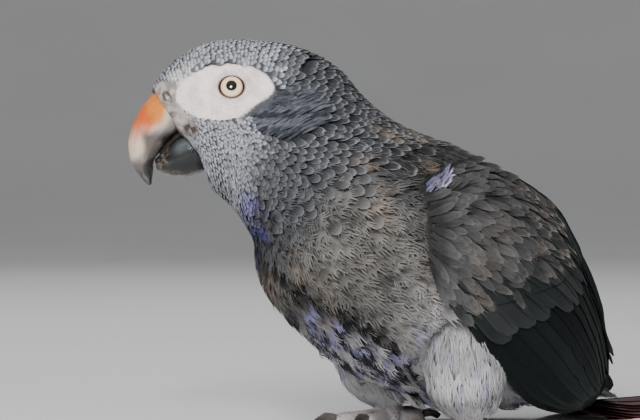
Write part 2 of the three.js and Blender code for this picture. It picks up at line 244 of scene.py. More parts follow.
def wire(name, value):
    """A link or a value for an input of the material's shader."""
    put(bench["shader"].inputs[name], value)


def srgb(*levels):
    """A colour as a paint chart gives it, 0 to 255, in the units that shaders use."""
    value = np.array(levels) / 255
    return np.where(value <= 0.04045, value / 12.92, ((value + 0.055) / 1.055) ** 2.4)


def noise(place, scale, detail=3.0, roughness=0.5):
    return add(
        "TexNoise", {"Vector": place, "Scale": scale, "Detail": detail, "Roughness": roughness}
    ).outputs["Fac"]


def bump(height, distance, strength=1.0, below=None):
    inputs = {"Height": height, "Distance": distance, "Strength": strength}
    return add("Bump", inputs if below is None else {**inputs, "Normal": below}).outputs["Normal"]


def object_place():
    return add("TexCoord").outputs["Object"]


# %% Floor
floor_paint = new_material("floor_paint", 0.75, 0.25)
mottle = ranged(noise(object_place(), 3.0), 0.3, 0.7)
wire("Base Color", blended(mottle, (0.60, 0.60, 0.60), (0.63, 0.63, 0.63)))
FLOOR_REACH = 1500.0  # flat as far as this
SWEEP = 1400.0  # then it curves up, with no corner, into a wall this much further out
BOWL_SIDES = 96


def bowl(radius, height):
    turn = np.arange(BOWL_SIDES) / BOWL_SIDES * 2 * math.pi
    return np.stack((radius * np.cos(turn), radius * np.sin(turn), np.full(BOWL_SIDES, height)), -1)


climb = np.linspace(0, math.pi / 2, 14)
rings = [bowl(FLOOR_REACH * share, 0.0) for share in (0.02, 0.3, 0.7)]
rings += [bowl(FLOOR_REACH + SWEEP * math.sin(a), SWEEP * (1 - math.cos(a))) for a in climb]
rings.append(bowl(FLOOR_REACH + SWEEP, SWEEP * 1.9))
bowl_faces = [tuple(range(BOWL_SIDES))]
for ring in range(len(rings) - 1):
    for k in range(BOWL_SIDES):
        a, b = ring * BOWL_SIDES + k, ring * BOWL_SIDES + (k + 1) % BOWL_SIDES
        bowl_faces.append((a, a + BOWL_SIDES, b + BOWL_SIDES, b))
mesh_object("floor", np.concatenate(rings), by_corners(bowl_faces), floor_paint)
print("floor flat for", FLOOR_REACH, "mm, then up in", len(climb), "rings")

# %% [markdown]
# ## Nets over the body
#
# Feathers grow in rows and lie towards the tail. To lay thousands of them that way, each part of the
# bird gets a net: threads that run along it and threads that run round it, like the lines on a globe. A
# place on the net is two numbers, how far along and how far round. The net comes from the frame: rays
# come in from outside towards a line inside the part, and where they first meet the solids is the
# surface that the feather tips end on.

# %% The net


def middle(node):
    low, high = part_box(node)
    return np.array((low + high) / 2) / MM


def unit(vectors):
    return vectors / np.maximum(np.linalg.norm(vectors, axis=-1, keepdims=True), 1e-9)


def ease(value, low, high):
    """0 below low, 1 above high, and a smooth step between them."""
    share = np.clip((np.asarray(value, float) - low) / (high - low), 0, 1)
    return share * share * (3 - 2 * share)


def fade(value, low, high):
    """1 below low, 0 above high."""
    return 1 - ease(value, low, high)


def ridge(value, middle, width):
    """1 at the middle, falling off smoothly on both sides."""
    return np.exp(-(((value - middle) / width) ** 2))


def mixed(first, second, share):
    return first + (second - first) * share


def turns(count):
    """Equal steps round a circle, in radians."""
    return np.arange(count) / count * 2 * math.pi


def smooth_line(knots, shares):
    """Points of a smooth line through knots at equal steps."""
    knots = np.asarray(knots, float)
    padded = np.vstack((2 * knots[0] - knots[1], knots, 2 * knots[-1] - knots[-2]))
    at = np.clip(np.asarray(shares, float), 0, 1) * (len(knots) - 1)
    first = np.minimum(at.astype(int), len(knots) - 2)
    t = (at - first)[..., None]
    a, b, c, d = (padded[first + i] for i in range(4))
    return 0.5 * (
        2 * b + (c - a) * t + (2 * a - 5 * b + 4 * c - d) * t**2 + (3 * b - a - 3 * c + d) * t**3
    )


def solid_tree(*names):
    """The faces of some solids, ready for rays."""
    points, faces = [], []
    for name in names:
        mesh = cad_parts[name].data
        start = len(points)
        points += [v.co / MM for v in mesh.vertices]
        faces += [[start + i for i in p.vertices] for p in mesh.polygons]
    return BVHTree.FromPolygons(points, faces)


def blurred(values, steps, wrap):
    """A grid averaged with its neighbours along both directions; wrap says if the second one closes on
    itself."""
    for _ in range(steps):
        padded = np.pad(values, ((1, 1), (0, 0)) + ((0, 0),) * (values.ndim - 2), mode="edge")
        values = (padded[:-2] + 2 * padded[1:-1] + padded[2:]) / 4
        before, after = np.roll(values, 1, 1), np.roll(values, -1, 1)
        if not wrap:
            before[:, 0], after[:, -1] = values[:, 0], values[:, -1]
        values = (before + 2 * values + after) / 4
    return values


class Net:
    """Places on a surface by (along, round), each from 0 to 1."""

    MARGIN = 0.08

    def __init__(self, points, wrap, facing=1.0):
        self.points, self.wrap, self.handed = points, wrap, facing
        down = np.gradient(points, axis=0)
        if wrap:
            over = (np.roll(points, -1, 1) - np.roll(points, 1, 1)) / 2
        else:
            over = np.gradient(points, axis=1)
        self.normals = unit(blurred(unit(np.cross(over, down)) * facing, 2, wrap))
        self.down = np.linalg.norm(down, axis=-1) * (points.shape[0] - 1)
        self.over = np.linalg.norm(over, axis=-1) * (points.shape[1] if wrap else points.shape[1] - 1)
        self.down, self.over = (blurred(v, 3, wrap) for v in (self.down, self.over))

    def read(self, grid, along, around):
        """A grid's values between its knots, and a little way past its ends."""
        rows, columns = grid.shape[:2]
        i = np.clip(along, -self.MARGIN, 1 + self.MARGIN) * (rows - 1)
        i0 = np.clip(np.floor(i).astype(int), 0, rows - 2)
        if self.wrap:
            j = (around % 1) * columns
            j0 = j.astype(int) % columns
            j1 = (j0 + 1) % columns
        else:
            j = np.clip(around, -self.MARGIN, 1 + self.MARGIN) * (columns - 1)
            j0 = np.clip(np.floor(j).astype(int), 0, columns - 2)
            j1 = j0 + 1
        extra = (...,) + (None,) * (grid.ndim - 2)
        di, dj = (i - i0)[extra], (j - np.floor(j) if self.wrap else j - j0)[extra]
        near = grid[i0, j0] * (1 - dj) + grid[i0, j1] * dj
        far = grid[i0 + 1, j0] * (1 - dj) + grid[i0 + 1, j1] * dj
        return near * (1 - di) + far * di

    def place(self, along, around):
        return self.read(self.points, along, around)

    def normal(self, along, around):
        return unit(self.read(self.normals, along, around))

    def both(self, along, around):
        return self.place(along, around), self.normal(along, around)


REACH = 120.0  # rays start this far out
MOST_STEP = 1.4


def first_hits(tree, centres, directions, reach=REACH):
    """How far from each centre the outermost surface lies in each direction, or nan."""
    found = np.full(len(centres), np.nan)
    for i, (centre, direction, start) in enumerate(
        zip(centres, directions, np.broadcast_to(reach, len(centres)))
    ):
        hit = tree.ray_cast(Vector(centre + start * direction), Vector(-direction), start)
        if hit[0] is not None:
            found[i] = start - hit[3]
    return found


def filled(values, reach=5):
    """A grid without the narrow pits across its rows, where rays slipped into a seam between two
    solids."""
    padded = np.pad(values, ((reach, reach), (0, 0)), mode="edge")
    return np.maximum(
        values, np.median([padded[i : i + len(values)] for i in range(2 * reach + 1)], axis=0)
    )


def frames_along(line, top):
    """At each point of a line, the directions up from it and to its left."""
    down = unit(np.gradient(line, axis=0))
    rise = unit(top - (down @ top)[:, None] * down)
    return rise, np.cross(down, rise)


def ring_net(tree, line, rise, left, columns, blur, reach=REACH):
    """A net of rings round a line, each in its own plane, starting on top and going to the left."""
    angle = turns(columns)
    directions = np.cos(angle)[:, None] * rise[:, None] + np.sin(angle)[:, None] * left[:, None]
    centres = np.broadcast_to(line[:, None], directions.shape)
    starts = np.repeat(np.broadcast_to(reach, len(line)), columns)
    radius = first_hits(
        tree, centres.reshape(-1, 3), directions.reshape(-1, 3), starts
    ).reshape(directions.shape[:2])
    whole = np.flatnonzero(~np.isnan(radius).any(axis=1))
    radius, centres, directions = (v[whole[0] : whole[-1] + 1] for v in (radius, centres, directions))
    radius[np.isnan(radius)] = np.nanmedian(radius)
    radius = filled(radius)
    for row in range(len(radius) // 6, -1, -1):  # towards the first ring, no sudden step
        radius[row] = np.clip(radius[row], radius[row + 1] - MOST_STEP, radius[row + 1] + MOST_STEP)
    return Net(centres + blurred(radius, blur, True)[..., None] * directions, True)


def net_facing(tree, grid, direction, blur, facing=1.0):
    """A net seen along a direction, where rays that come in towards a grid behind the solids meet
    them."""
    direction = np.asarray(direction, float)
    flat = grid.reshape(-1, 3)
    deep = first_hits(tree, flat, np.broadcast_to(-direction, flat.shape)).reshape(grid.shape[:2])
    column = np.arange(deep.shape[1])
    for row in deep:
        known = np.flatnonzero(~np.isnan(row))
        if len(known):
            row[:] = np.interp(column, known, row[known])
    rows = np.flatnonzero(~np.isnan(deep).any(axis=1))
    deep = deep[rows[np.abs(rows[None] - np.arange(len(deep))[:, None]).argmin(axis=1)]]
    deep = blurred(filled(deep), blur, False)
    return Net(grid - deep[..., None] * direction, False, facing)


# %% The body's net
# A parrot's eyes face a little upwards; places on the head are measured from the middles of their
# openings.
EYE_LEAN = math.radians(17.5)
EYE_RADIUS = (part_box("eye_left")[1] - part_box("eye_left")[0]).z / 2 / MM
EYE_MIDDLES = {side: middle(f"eye_{side}") for side in SIDES}
EYE_SEATS = {side: EYE_MIDDLES[side] + EYE_RADIUS * math.sin(EYE_LEAN) * UP for side in SIDES}
between_eyes = (EYE_SEATS["left"] + EYE_SEATS["right"]) / 2
HEAD_LEFT = unit(middle("eye_left") - middle("eye_right"))
HEAD_FRONT = np.cross(HEAD_LEFT, UP)


def head_point(forwards, above, leftwards=0.0):
    return between_eyes + forwards * HEAD_FRONT + above * UP + leftwards * HEAD_LEFT


SPINE_ROWS = 260
# Through the head the rings fan out from the forehead and the chin: each knot has its lean forwards, in
# degrees
spine_knots = [
    head_point(19.9, -10.8), head_point(17, -9.5), head_point(14, -9.2), head_point(11, -10.1),
    head_point(6.4, -11.5), head_point(-1, -12.7), middle("neck"), middle("trunk"),
    middle("tail_coverts") + (0, -8, 3), middle("tail_coverts") + (0, 20, -8),
]
SPINE_LEANS = [47, 29, 17.5, 11, 9.4, 2.6, 0, 0, 0, 0]
fine = np.linspace(0, 1, 2000)
walked = np.concatenate(
    ([0], np.cumsum(np.linalg.norm(np.diff(smooth_line(spine_knots, fine), axis=0), axis=1)))
)
shares = np.interp(np.linspace(0, walked[-1], SPINE_ROWS), walked, fine)
spine = smooth_line(spine_knots, shares)
rise, left = frames_along(spine, UP)
at_knot = shares * (len(spine_knots) - 1)
lean = np.interp(at_knot, np.arange(len(spine_knots)), SPINE_LEANS)
behind = ease(at_knot, 4.5, 6.3)[:, None]
rise = unit(mixed(UP + np.tan(np.radians(lean))[:, None] * HEAD_FRONT, rise, behind))
left = unit(mixed(HEAD_LEFT, left, behind))
body_tree = solid_tree("cere", "head", "neck", "trunk", "tail_coverts")
bill_tree = solid_tree("upper_bill", "lower_bill")
body_and_bill = solid_tree("cere", "head", "neck", "trunk", "tail_coverts", "upper_bill", "lower_bill")
body_net = ring_net(
    body_and_bill, spine, rise, left, 180, 4, np.interp(lean, (17, 25, 29, 47), (REACH, 40, 19.5, 15))
)
print("body net", body_net.points.shape, "first ring", body_net.points[0].mean(0).round(1))


def nearest_on(net, points):
    """The places on a net nearest to some points, as (along, round)."""
    rows, columns = net.points.shape[:2]
    tree = KDTree(rows * columns)
    for index, point in enumerate(net.points.reshape(-1, 3)):
        tree.insert(point, index)
    tree.balance()
    found = np.array([tree.find(point)[1] for point in points])
    return found // columns / (rows - 1), found % columns / (columns if net.wrap else columns - 1)


def clouds(points, size, seed=0):
    """A soft random field from -1 to 1, whose patches are about size mm across."""
    waves = np.random.default_rng(seed)
    total = np.zeros(len(points))
    for _ in range(7):
        direction = unit(waves.normal(size=3)) * 2 * math.pi / size / waves.uniform(1.2, 2.6)
        total += np.sin(points @ direction + waves.uniform(0, 2 * math.pi))
    return total / 2.8


# %% [markdown]
# ## Markings
#
# The bird's colours belong to the animal, not to one layer of it, so one function gives the colour at
# any place on the body, and both the skin and each feather ask it. It works in the bird's own terms:
# how far back along the body, how far down its side, and, on the head, how far in front of and above
# the eye.

# %% Where the colours are
# The bare face, in mm forwards of the eye and above it
BARE_FACE = [
    (17.4, -1.5), (15.2, 2.2), (10.1, 5.3), (5.5, 6.6), (0, 7.0), (-4.8, 6.4), (-8.6, 4.9),
    (-11.6, 2.6),
    (-13.2, -0.2), (-12.4, -2.6), (-9.8, -4.6), (-7.0, -6.4), (-4.6, -8.5), (-1.5, -10.2), (3, -11),
    (8, -10.6), (12, -9.3), (15.5, -6.8), (17.4, -4),
]
# The cere round the nostril and the wrinkled skin at the corner of the mouth
CERE = [
    (25.5, -2.2), (22.6, 1.2), (18.0, 0.8), (14.5, -4), (14.2, -9.0), (12.0, -11.0),
    (10.6, -13.0), (10.8, -15.2), (12.6, -15.8), (17, -13), (22, -9), (25, -5.5),
]
NOSTRIL = (20.3, -3.2)
FOLD = (18.2, -8.6)  # the small horny fold between the nostril and the corner of the mouth
GAPE = (12.6, -13.2)
EAR_MIDDLE = (-14.5, -8.0)
EAR_SIZE = (11.5, 8.5)


EYE_AXES = {
    side: unit(OUTWARDS[side] * math.cos(EYE_LEAN) * HEAD_LEFT + math.sin(EYE_LEAN) * UP)
    for side in SIDES
}


def by_the_eye(points):
    """How far points are forwards of the nearer eye, above it and outwards from it, in mm."""
    side = np.where((points - between_eyes) @ HEAD_LEFT > 0, 1.0, -1.0)
    eye = np.where(side[:, None] > 0, EYE_SEATS["left"], EYE_SEATS["right"])
    away = points - eye
    return away @ HEAD_FRONT, away @ UP, side * (away @ HEAD_LEFT)


def outline_distance(outline, x, y):
    """Distance from a closed outline, negative inside it."""
    ring = smooth_line(outline + outline[:1], np.linspace(0, 1, 90))[:-1]
    nearest = np.full(len(x), 1e9)
    inside = np.zeros(len(x), bool)
    for (ax, ay), (bx, by) in zip(ring, np.roll(ring, -1, 0)):
        share = np.clip(
            ((x - ax) * (bx - ax) + (y - ay) * (by - ay)) / ((bx - ax) ** 2 + (by - ay) ** 2), 0, 1
        )
        nearest = np.minimum(nearest, np.hypot(x - ax - share * (bx - ax), y - ay - share * (by - ay)))
        crosses = (ay > y) != (by > y)
        inside ^= crosses & (x < ax + (y - ay) / np.where(by == ay, 1e-9, by - ay) * (bx - ax))
    return np.where(inside, -nearest, nearest)


def bare_distance(points):
    """How far outside the bare face a point is, in mm; far away on the rest of the body."""
    forwards, above, outwards = by_the_eye(points)
    distance = np.full(len(points), 50.0)
    near = (np.abs(forwards) < 40) & (np.abs(above) < 30) & (outwards > -9)
    for outline in (BARE_FACE, CERE):
        distance[near] = np.minimum(
            distance[near], outline_distance(outline, forwards[near], above[near])
        )
    return distance


BARE_WHITE = srgb(250, 240, 236)
LID_BROWN = srgb(52, 33, 28)
CERE_GREY = srgb(186, 178, 174)
CERE_DARK = srgb(104, 96, 94)
CROWN_GREY = srgb(118, 120, 127)
CHEEK_GREY = srgb(124, 125, 130)
EAR_GREY = srgb(78, 81, 88)
NECK_GREY = srgb(84, 86, 90)
NAPE_GREY = srgb(70, 72, 77)
BREAST_GREY = srgb(112, 110, 107)
BREAST_DARK = srgb(76, 76, 75)
WORN_BROWN = srgb(134, 119, 106)
MANTLE_GREY = srgb(58, 58, 59)
# painted shadow for the crease under the ends of the near side's flank feathers
CREASE_SHADOW = srgb(30, 31, 35)
FLANK_PALE = srgb(172, 170, 171)
DOWN_WHITE = srgb(208, 208, 212)
BLOOM_VIOLET = srgb(84, 82, 152)
RUMP_GREY = srgb(92, 92, 97)
COVERT_DARK = srgb(54, 55, 56)
FOREHEAD_PALE = srgb(238, 235, 234)
GAPE_DARK = srgb(72, 66, 64)
# Where the near side's long flank feathers end and the pale belly begins: (along, round) on the body's
# net
CREASE = np.array([
    (0.22, 0.50), (0.26, 0.489), (0.309, 0.439), (0.353, 0.428), (0.399, 0.417), (0.447, 0.415),
    (0.53, 0.43), (0.668, 0.47),
])


def crease_round(along):
    return np.interp(along, CREASE[:, 0], CREASE[:, 1])


def nostril_ring(forwards, above):
    """Distance from the middle of the nostril, which is taller than it is wide and leans forwards."""
    lean = 0.35 * (above - NOSTRIL[1])
    return np.hypot((forwards - NOSTRIL[0] - lean) * 1.12, (above - NOSTRIL[1]) * 0.85)


def ear_share(forwards, above):
    """1 in the middle of the ear coverts, 0 outside them."""
    reach = ((forwards - EAR_MIDDLE[0]) / EAR_SIZE[0]) ** 2
    reach = reach + ((above - EAR_MIDDLE[1]) / EAR_SIZE[1]) ** 2
    return fade(reach, 0.5, 1.3)


def markings(points, along, around):
    """The plumage's colour at points that have these places on the body's net."""
    low = 1 - np.abs(2 * around - 1)  # 0 along the back, 1 along the belly
    forwards, above, outwards = by_the_eye(points)
    worn = clouds(points, 16, 3) * 0.5 + clouds(points, 6, 5) * 0.5

    colour = np.tile(CROWN_GREY, (len(points), 1))

    def over(paint, share):
        colour[:] = mixed(colour, paint, np.clip(share, 0, 1)[:, None])

    over(CHEEK_GREY, ease(low, 0.30, 0.55))
    over(NECK_GREY, ease(along, 0.105, 0.165) * ease(low, 0.35, 0.6) * 0.7)
    over_lores = fade(outline_distance(BARE_FACE, forwards, above), 1.0, 6.0)
    over(FOREHEAD_PALE, fade(along, 0.02, 0.085) * over_lores * fade(low, 0.3, 0.5))
    over(NECK_GREY, ease(along, 0.158, 0.228))
    over(NAPE_GREY, ease(along, 0.17, 0.228) * fade(low, 0.25, 0.5))
    over(BREAST_GREY, ease(along, 0.243, 0.311) * ease(low, 0.4, 0.6))
    over(MANTLE_GREY, ease(along, 0.26, 0.345) * fade(low, 0.38, 0.55))
    brown = ease(along, 0.252, 0.311) * fade(along, 0.56, 0.69) * ease(worn, -0.1, 0.9)
    over(WORN_BROWN, brown * 0.9)
    gloom = ease(clouds(points, 7, 14) * 0.6 + clouds(points, 3.5, 15) * 0.4, 0.15, 1.0)
    over(
        BREAST_DARK,
        gloom * ease(along, 0.25, 0.31) * fade(along, 0.5, 0.62) * ease(low, 0.4, 0.55) * 0.8
    )
    over(
        FLANK_PALE, ease(along, 0.39, 0.50) * ease(low, 0.50, 0.64) * (1 - 0.4 * ease(low, 0.72, 0.82))
    )
    over(DOWN_WHITE, ease(along, 0.47, 0.652) * ease(low, 0.66, 0.8) * 0.8)
    past_crease = around - crease_round(along)
    belly = ease(past_crease, 0.0, 0.012) * ease(0.64 - around, 0.0, 0.02)
    over(DOWN_WHITE, belly * ease(along, 0.345, 0.47) * 0.85)
    folded = np.minimum(around, 1 - around)
    beside_thigh = ease(along, 0.51, 0.60) * ease(folded, 0.35, 0.40) * fade(past_crease, -0.010, 0.0)
    over(DOWN_WHITE, beside_thigh * fade(along, 0.72, 0.8) * 0.6)
    # painted shadow: a dark band along the crease line, where the near side's flank feathers overhang the
    # belly
    crease_shadow = ridge(past_crease, -0.003, 0.010) * ease(along, 0.21, 0.27) * fade(along, 0.62, 0.70)
    over(CREASE_SHADOW, crease_shadow)
    over(BLOOM_VIOLET, belly * ease(clouds(points, 6, 18), 0.2, 1.0) * fade(along, 0.5, 0.65) * 0.35)
    over(RUMP_GREY, ease(along, 0.85, 0.91) * fade(low, 0.5, 0.7))
    ear = ear_share(forwards, above) * (outwards > -9) * (along < 0.277)
    over(EAR_GREY, ear)
    throat = ease(along, 0.10, 0.19) * fade(along, 0.235, 0.262) * ease(low, 0.72, 0.80)
    over(BREAST_DARK, throat * 0.55)
    over(BLOOM_VIOLET, throat * ease(clouds(points, 5, 8), -0.4, 0.6) * 0.6)
    beside = outwards > -9
    cere = fade(outline_distance(CERE, forwards, above), -0.4, 1.2)
    blotches = ease(clouds(points, 1.7, 33), -0.4, 0.8)
    over(CERE_GREY, cere * beside)
    over(CERE_DARK, cere * beside * blotches * ease(forwards, 12, 19) * 0.6)
    gape = fade(np.hypot(forwards - GAPE[0], (above - GAPE[1]) * 1.1), 1.5, 4.2)
    over(GAPE_DARK, gape * beside * (0.55 + 0.45 * blotches))
    nostril = nostril_ring(forwards, above) + 0.12 * clouds(points, 1.1, 46)
    ragged = 0.45 + 0.55 * ease(clouds(points, 1.6, 44) + 0.25 * (above - NOSTRIL[1]), -0.5, 0.7)
    fold = np.hypot(forwards - FOLD[0], 1.3 * (above - FOLD[1]))
    over(GAPE_DARK, ridge(fold, 1.0, 0.4) * beside * 0.7)
    over(GAPE_DARK, ridge(nostril, 1.15, 0.5) * beside * ragged)
    face = outline_distance(BARE_FACE, forwards, above)
    white = mixed(
        BARE_WHITE, srgb(232, 214, 210), ease(clouds(points, 3.5, 45), -0.2, 1.1)[:, None] * 0.7
    )
    return mixed(colour, white, (fade(face, -0.5, 0.3) * beside * (along < 0.2))[:, None])


print("eye middles", {side: spot.round(1).tolist() for side, spot in EYE_MIDDLES.items()})

# %% [markdown]
# ## Skin
#
# One skin covers everything that is flesh. The solids of the frame meet with thin gaps, so a copy of
# each is puffed out a little, the copies are joined, and a voxel remesh melts them into one surface: no
# seam shows. That surface is still the bird's outline with its feathers on. So each point then moves
# inwards by the coat's depth at that place: nothing on the face and feet, and at most 3.6 mm on the
# body.

# %% Join the flesh and remesh it
FLESH = ["cere", "head", "neck", "trunk", "tail_coverts", "eye_left", "eye_right"]
TOES = ("outer_front", "inner_front", "outer_rear", "inner_rear")
FLESH += both_sides("thigh", "wing_coverts", "foot") + both_sides(*(f"toe_{toe}" for toe in TOES))
PUFF = 0.35
SKIN_VOXEL = 0.8

joined = bmesh.new()
for name in FLESH:
    part = bmesh.new()
    part.from_mesh(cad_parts[name].data)
    bmesh.ops.remove_doubles(part, verts=part.verts, dist=0.001 * MM)
    part.normal_update()
    for vertex in part.verts:
        vertex.co += vertex.normal * PUFF * MM * (0 if name.startswith(("foot", "toe", "eye")) else 1)
    puffed = bpy.data.meshes.new(name + "_puffed")
    part.to_mesh(puffed)
    joined.from_mesh(puffed)
    part.free()
lump_mesh = bpy.data.meshes.new("lump")
joined.to_mesh(lump_mesh)
joined.free()
lump = linked("lump", lump_mesh)
remesh = lump.modifiers.new("remesh", "REMESH")
remesh.mode = "VOXEL"
remesh.voxel_size = SKIN_VOXEL * MM
skin_mesh = bpy.data.meshes.new_from_object(lump.evaluated_get(bpy.context.evaluated_depsgraph_get()))
bpy.data.objects.remove(lump)


def values_of(parts, name, kind=np.float32, width=3):
    """A value of each point, edge or face of a mesh, as an array."""
    values = np.zeros(len(parts) * width, kind)
    parts.foreach_get(name, values)
    return values.reshape(-1, width)


def points_of(mesh):
    return values_of(mesh.vertices, "co").astype(float) / MM


def normals_of(mesh):
    return values_of(mesh.vertices, "normal").astype(float)


def set_points(mesh, points):
    mesh.vertices.foreach_set("co", (points * MM).astype(np.float32).ravel())
    mesh.update()


def main_surface(mesh):
    """Deletes every separate island but the largest, such as the walls of closed gaps."""
    edges = values_of(mesh.edges, "vertices", np.int32, 2)
    label = np.arange(len(mesh.vertices))
    while True:
        lower = np.minimum(label[edges[:, 0]], label[edges[:, 1]])
        before = label.copy()
        np.minimum.at(label, edges[:, 0], lower)
        np.minimum.at(label, edges[:, 1], lower)
        label = label[label]
        if (label == before).all():
            break
    biggest = np.bincount(label).argmax()
    sheet = bmesh.new()
    sheet.from_mesh(mesh)
    bmesh.ops.delete(
        sheet, geom=[v for v, l in zip(sheet.verts, label) if l != biggest], context="VERTS"
    )
    sheet.to_mesh(mesh)
    sheet.free()


def relaxed(points, edges, share, rounds, only=None):
    """Moves each point towards the middle of its neighbours."""
    count = np.bincount(edges.ravel(), minlength=len(points))[:, None]
    for _ in range(rounds):
        total = np.zeros_like(points)
        for axis in range(3):
            total[:, axis] = np.bincount(edges[:, 0], points[edges[:, 1], axis], len(points))
            total[:, axis] += np.bincount(edges[:, 1], points[edges[:, 0], axis], len(points))
        move = (total / count - points) * share
        points = points + (move if only is None else move * only[:, None])
    return points


main_surface(skin_mesh)
print("skin", len(skin_mesh.vertices), "points")

# %% Sink the skin by the depth of the coat
DEPTH_ALONG = [0, 0.03, 0.13, 0.176, 0.235, 0.334, 0.69, 0.90, 0.957, 1]
DEPTH_BODY = [0.3, 0.8, 1.3, 1.8, 2.5, 3.2, 3.6, 2.8, 2.0, 1.5]
DEPTH_THIGH = 3.2
DEPTH_WING = 1.8
PUSHES = 6

trees = {
    "body": body_tree,
    "thigh": solid_tree(*both_sides("thigh")),
    "wing": solid_tree(*both_sides("wing_coverts")),
    "foot": solid_tree(*[n for n in FLESH if n.startswith(("foot", "toe"))]),
    "eye": solid_tree(*both_sides("eye")),
}


def distances(points, tree):
    return np.array([tree.find_nearest(Vector(p))[3] for p in points])


def coat_depth(points):
    """How far the skin lies under the outline at points of it, in mm."""
    away = np.array([distances(points, tree) for tree in trees.values()])
    part = np.array(list(trees))[away.argmin(0)]
    along, _ = nearest_on(body_net, points)
    body = np.interp(along, DEPTH_ALONG, DEPTH_BODY) * ease(bare_distance(points), 0.2, 2.6)
    thigh = DEPTH_THIGH * ease(points[:, 2], 6.5, 18)
    return np.select([part == "body", part == "thigh", part == "wing"], [body, thigh, DEPTH_WING], 0.0)


def thickness(mesh):
    """How thick the body is under each point of its surface, in mm."""
    points, normals = points_of(mesh), normals_of(mesh)
    tree = BVHTree.FromPolygons(points.tolist(), [tuple(p.vertices) for p in mesh.polygons])
    hits = [
        tree.ray_cast(Vector(p), Vector(-n), 30.0)[3] for p, n in zip(points - 0.05 * normals, normals)
    ]
    return np.array([30.0 if hit is None else hit for hit in hits])


skin_points = points_of(skin_mesh)
skin_edges = values_of(skin_mesh.edges, "vertices", np.int32, 2)
depth = np.minimum(coat_depth(skin_points), 0.38 * thickness(skin_mesh))
for _ in range(12):
    ends = depth[skin_edges]
    total = np.bincount(skin_edges[:, 0], ends[:, 1], len(depth))
    total += np.bincount(skin_edges[:, 1], ends[:, 0], len(depth))
    depth = (depth + total / np.bincount(skin_edges.ravel(), minlength=len(depth))) / 2
covered = ease(depth, 0.1, 1.0)
for _ in range(PUSHES):
    skin_points = relaxed(skin_points, skin_edges, 0.5, 3, covered)
    set_points(skin_mesh, skin_points)
    skin_points = skin_points - normals_of(skin_mesh) * (depth / PUSHES)[:, None]
skin_points = relaxed(skin_points, skin_edges, 0.5, 2, 0.2 + 0.8 * covered)
set_points(skin_mesh, skin_points)
print("coat depth in mm, least, middle and most:", np.percentile(depth, (0, 50, 100)).round(2))

# %% [markdown]
# ## Lids and nostrils
#
# Round a parrot's eye the bare skin rises to a thick dark lid, with fine rings of wrinkles outside it.
# The nostril is a pit in the soft cere over the bill. They could be a bump in the finish, but folds
# this deep change the outline of the eye, so the skin is split finer there and its points are moved:
# out for a rim, in for a pit.

# %% Lids, nostrils and wrinkles
LID_SQUEEZE = 1.12  # the opening is this much longer than it is high
LID_HEIGHT = 4.6  # of the face round the lids, out from the ball's centre
NOSTRIL_PLACES = [head_point(NOSTRIL[0], NOSTRIL[1], way * 8.5) for way in (1, -1)]
GAPE_PLACES = [head_point(GAPE[0], GAPE[1], way * 9.5) for way in (1, -1)]


def refine(mesh, places, radii):
    """Splits the faces near some places in four, so that small folds can be modelled there."""
    points = points_of(mesh)
    near = np.zeros(len(points), bool)
    for place, radius in zip(places, radii):
        near |= np.linalg.norm(points - place, axis=1) < radius
    shape = bmesh.new()
    shape.from_mesh(mesh)
    edges = [edge for edge in shape.edges if near[edge.verts[0].index] and near[edge.verts[1].index]]
    bmesh.ops.subdivide_edges(shape, edges=edges, cuts=1, use_grid_fill=True)
    shape.to_mesh(mesh)
    shape.free()


for shrink in (1.0, 0.93):
    refine(
        skin_mesh, list(EYE_SEATS.values()) + NOSTRIL_PLACES + GAPE_PLACES,
        [9.5 * shrink] * 2 + [4.5 * shrink] * 4
    )
skin_points = points_of(skin_mesh)
near_lids = np.full(len(skin_points), 99.0)
for side in SIDES:
    axis = EYE_AXES[side]
    away = skin_points - EYE_MIDDLES[side]
    out = away @ axis
    flat = away - out[:, None] * axis
    ring = np.hypot(flat @ HEAD_FRONT, LID_SQUEEZE * flat @ unit(np.cross(axis, HEAD_FRONT)))
    turn = np.arctan2(flat @ UP, flat @ HEAD_FRONT)
    lid = LID_HEIGHT + 0.30 * ridge(ring, 4.3, 0.42) - 1.3 * fade(ring, 3.45, 3.95)
    folds = 0.09 * np.sin(
        2 * math.pi * (ring - 4.2) / (0.95 + 0.1 * np.sin(turn)) + 0.9 * np.sin(3 * turn + 1)
    )
    folds = folds * ease(ring, 4.6, 5.2) * fade(ring, 6.2, 8.6)
    near = (ring < 9) & (out > 0)
    moved = mixed(out, lid, fade(ring, 4.7, 6.6)) + folds
    skin_points[near] += ((moved - out)[:, None] * axis)[near]
    near_lids = np.where(near, ring, near_lids)
forwards, above, outwards = by_the_eye(skin_points)
beside = outwards > -9
ways = np.where((skin_points - between_eyes) @ HEAD_LEFT > 0, 1.0, -1.0)
ring = nostril_ring(forwards, above) + 0.12 * clouds(skin_points, 1.1, 46)
pit = 0.40 * ridge(ring, 1.9, 0.5) - 0.55 * ridge(ring, 1.05, 0.4)
in_cere = fade(outline_distance(CERE, forwards, above), -0.5, 1.0)
wrinkled = fade(np.hypot(forwards - GAPE[0], above - GAPE[1]), 1.5, 4.2)
fold = np.hypot(forwards - FOLD[0], 1.3 * (above - FOLD[1]))
relief = (ring < 5) * pit + 0.30 * ridge(fold, 0.0, 0.9) - 0.25 * ridge(fold, 1.3, 0.4)
relief += 0.13 * in_cere * clouds(skin_points, 1.3, 51)
relief += 0.16 * wrinkled * clouds(skin_points, 0.9, 52)
skin_points += (relief * beside * ways)[:, None] * HEAD_LEFT
set_points(skin_mesh, skin_points)
print("skin with lids and nostrils:", len(skin_points), "points")

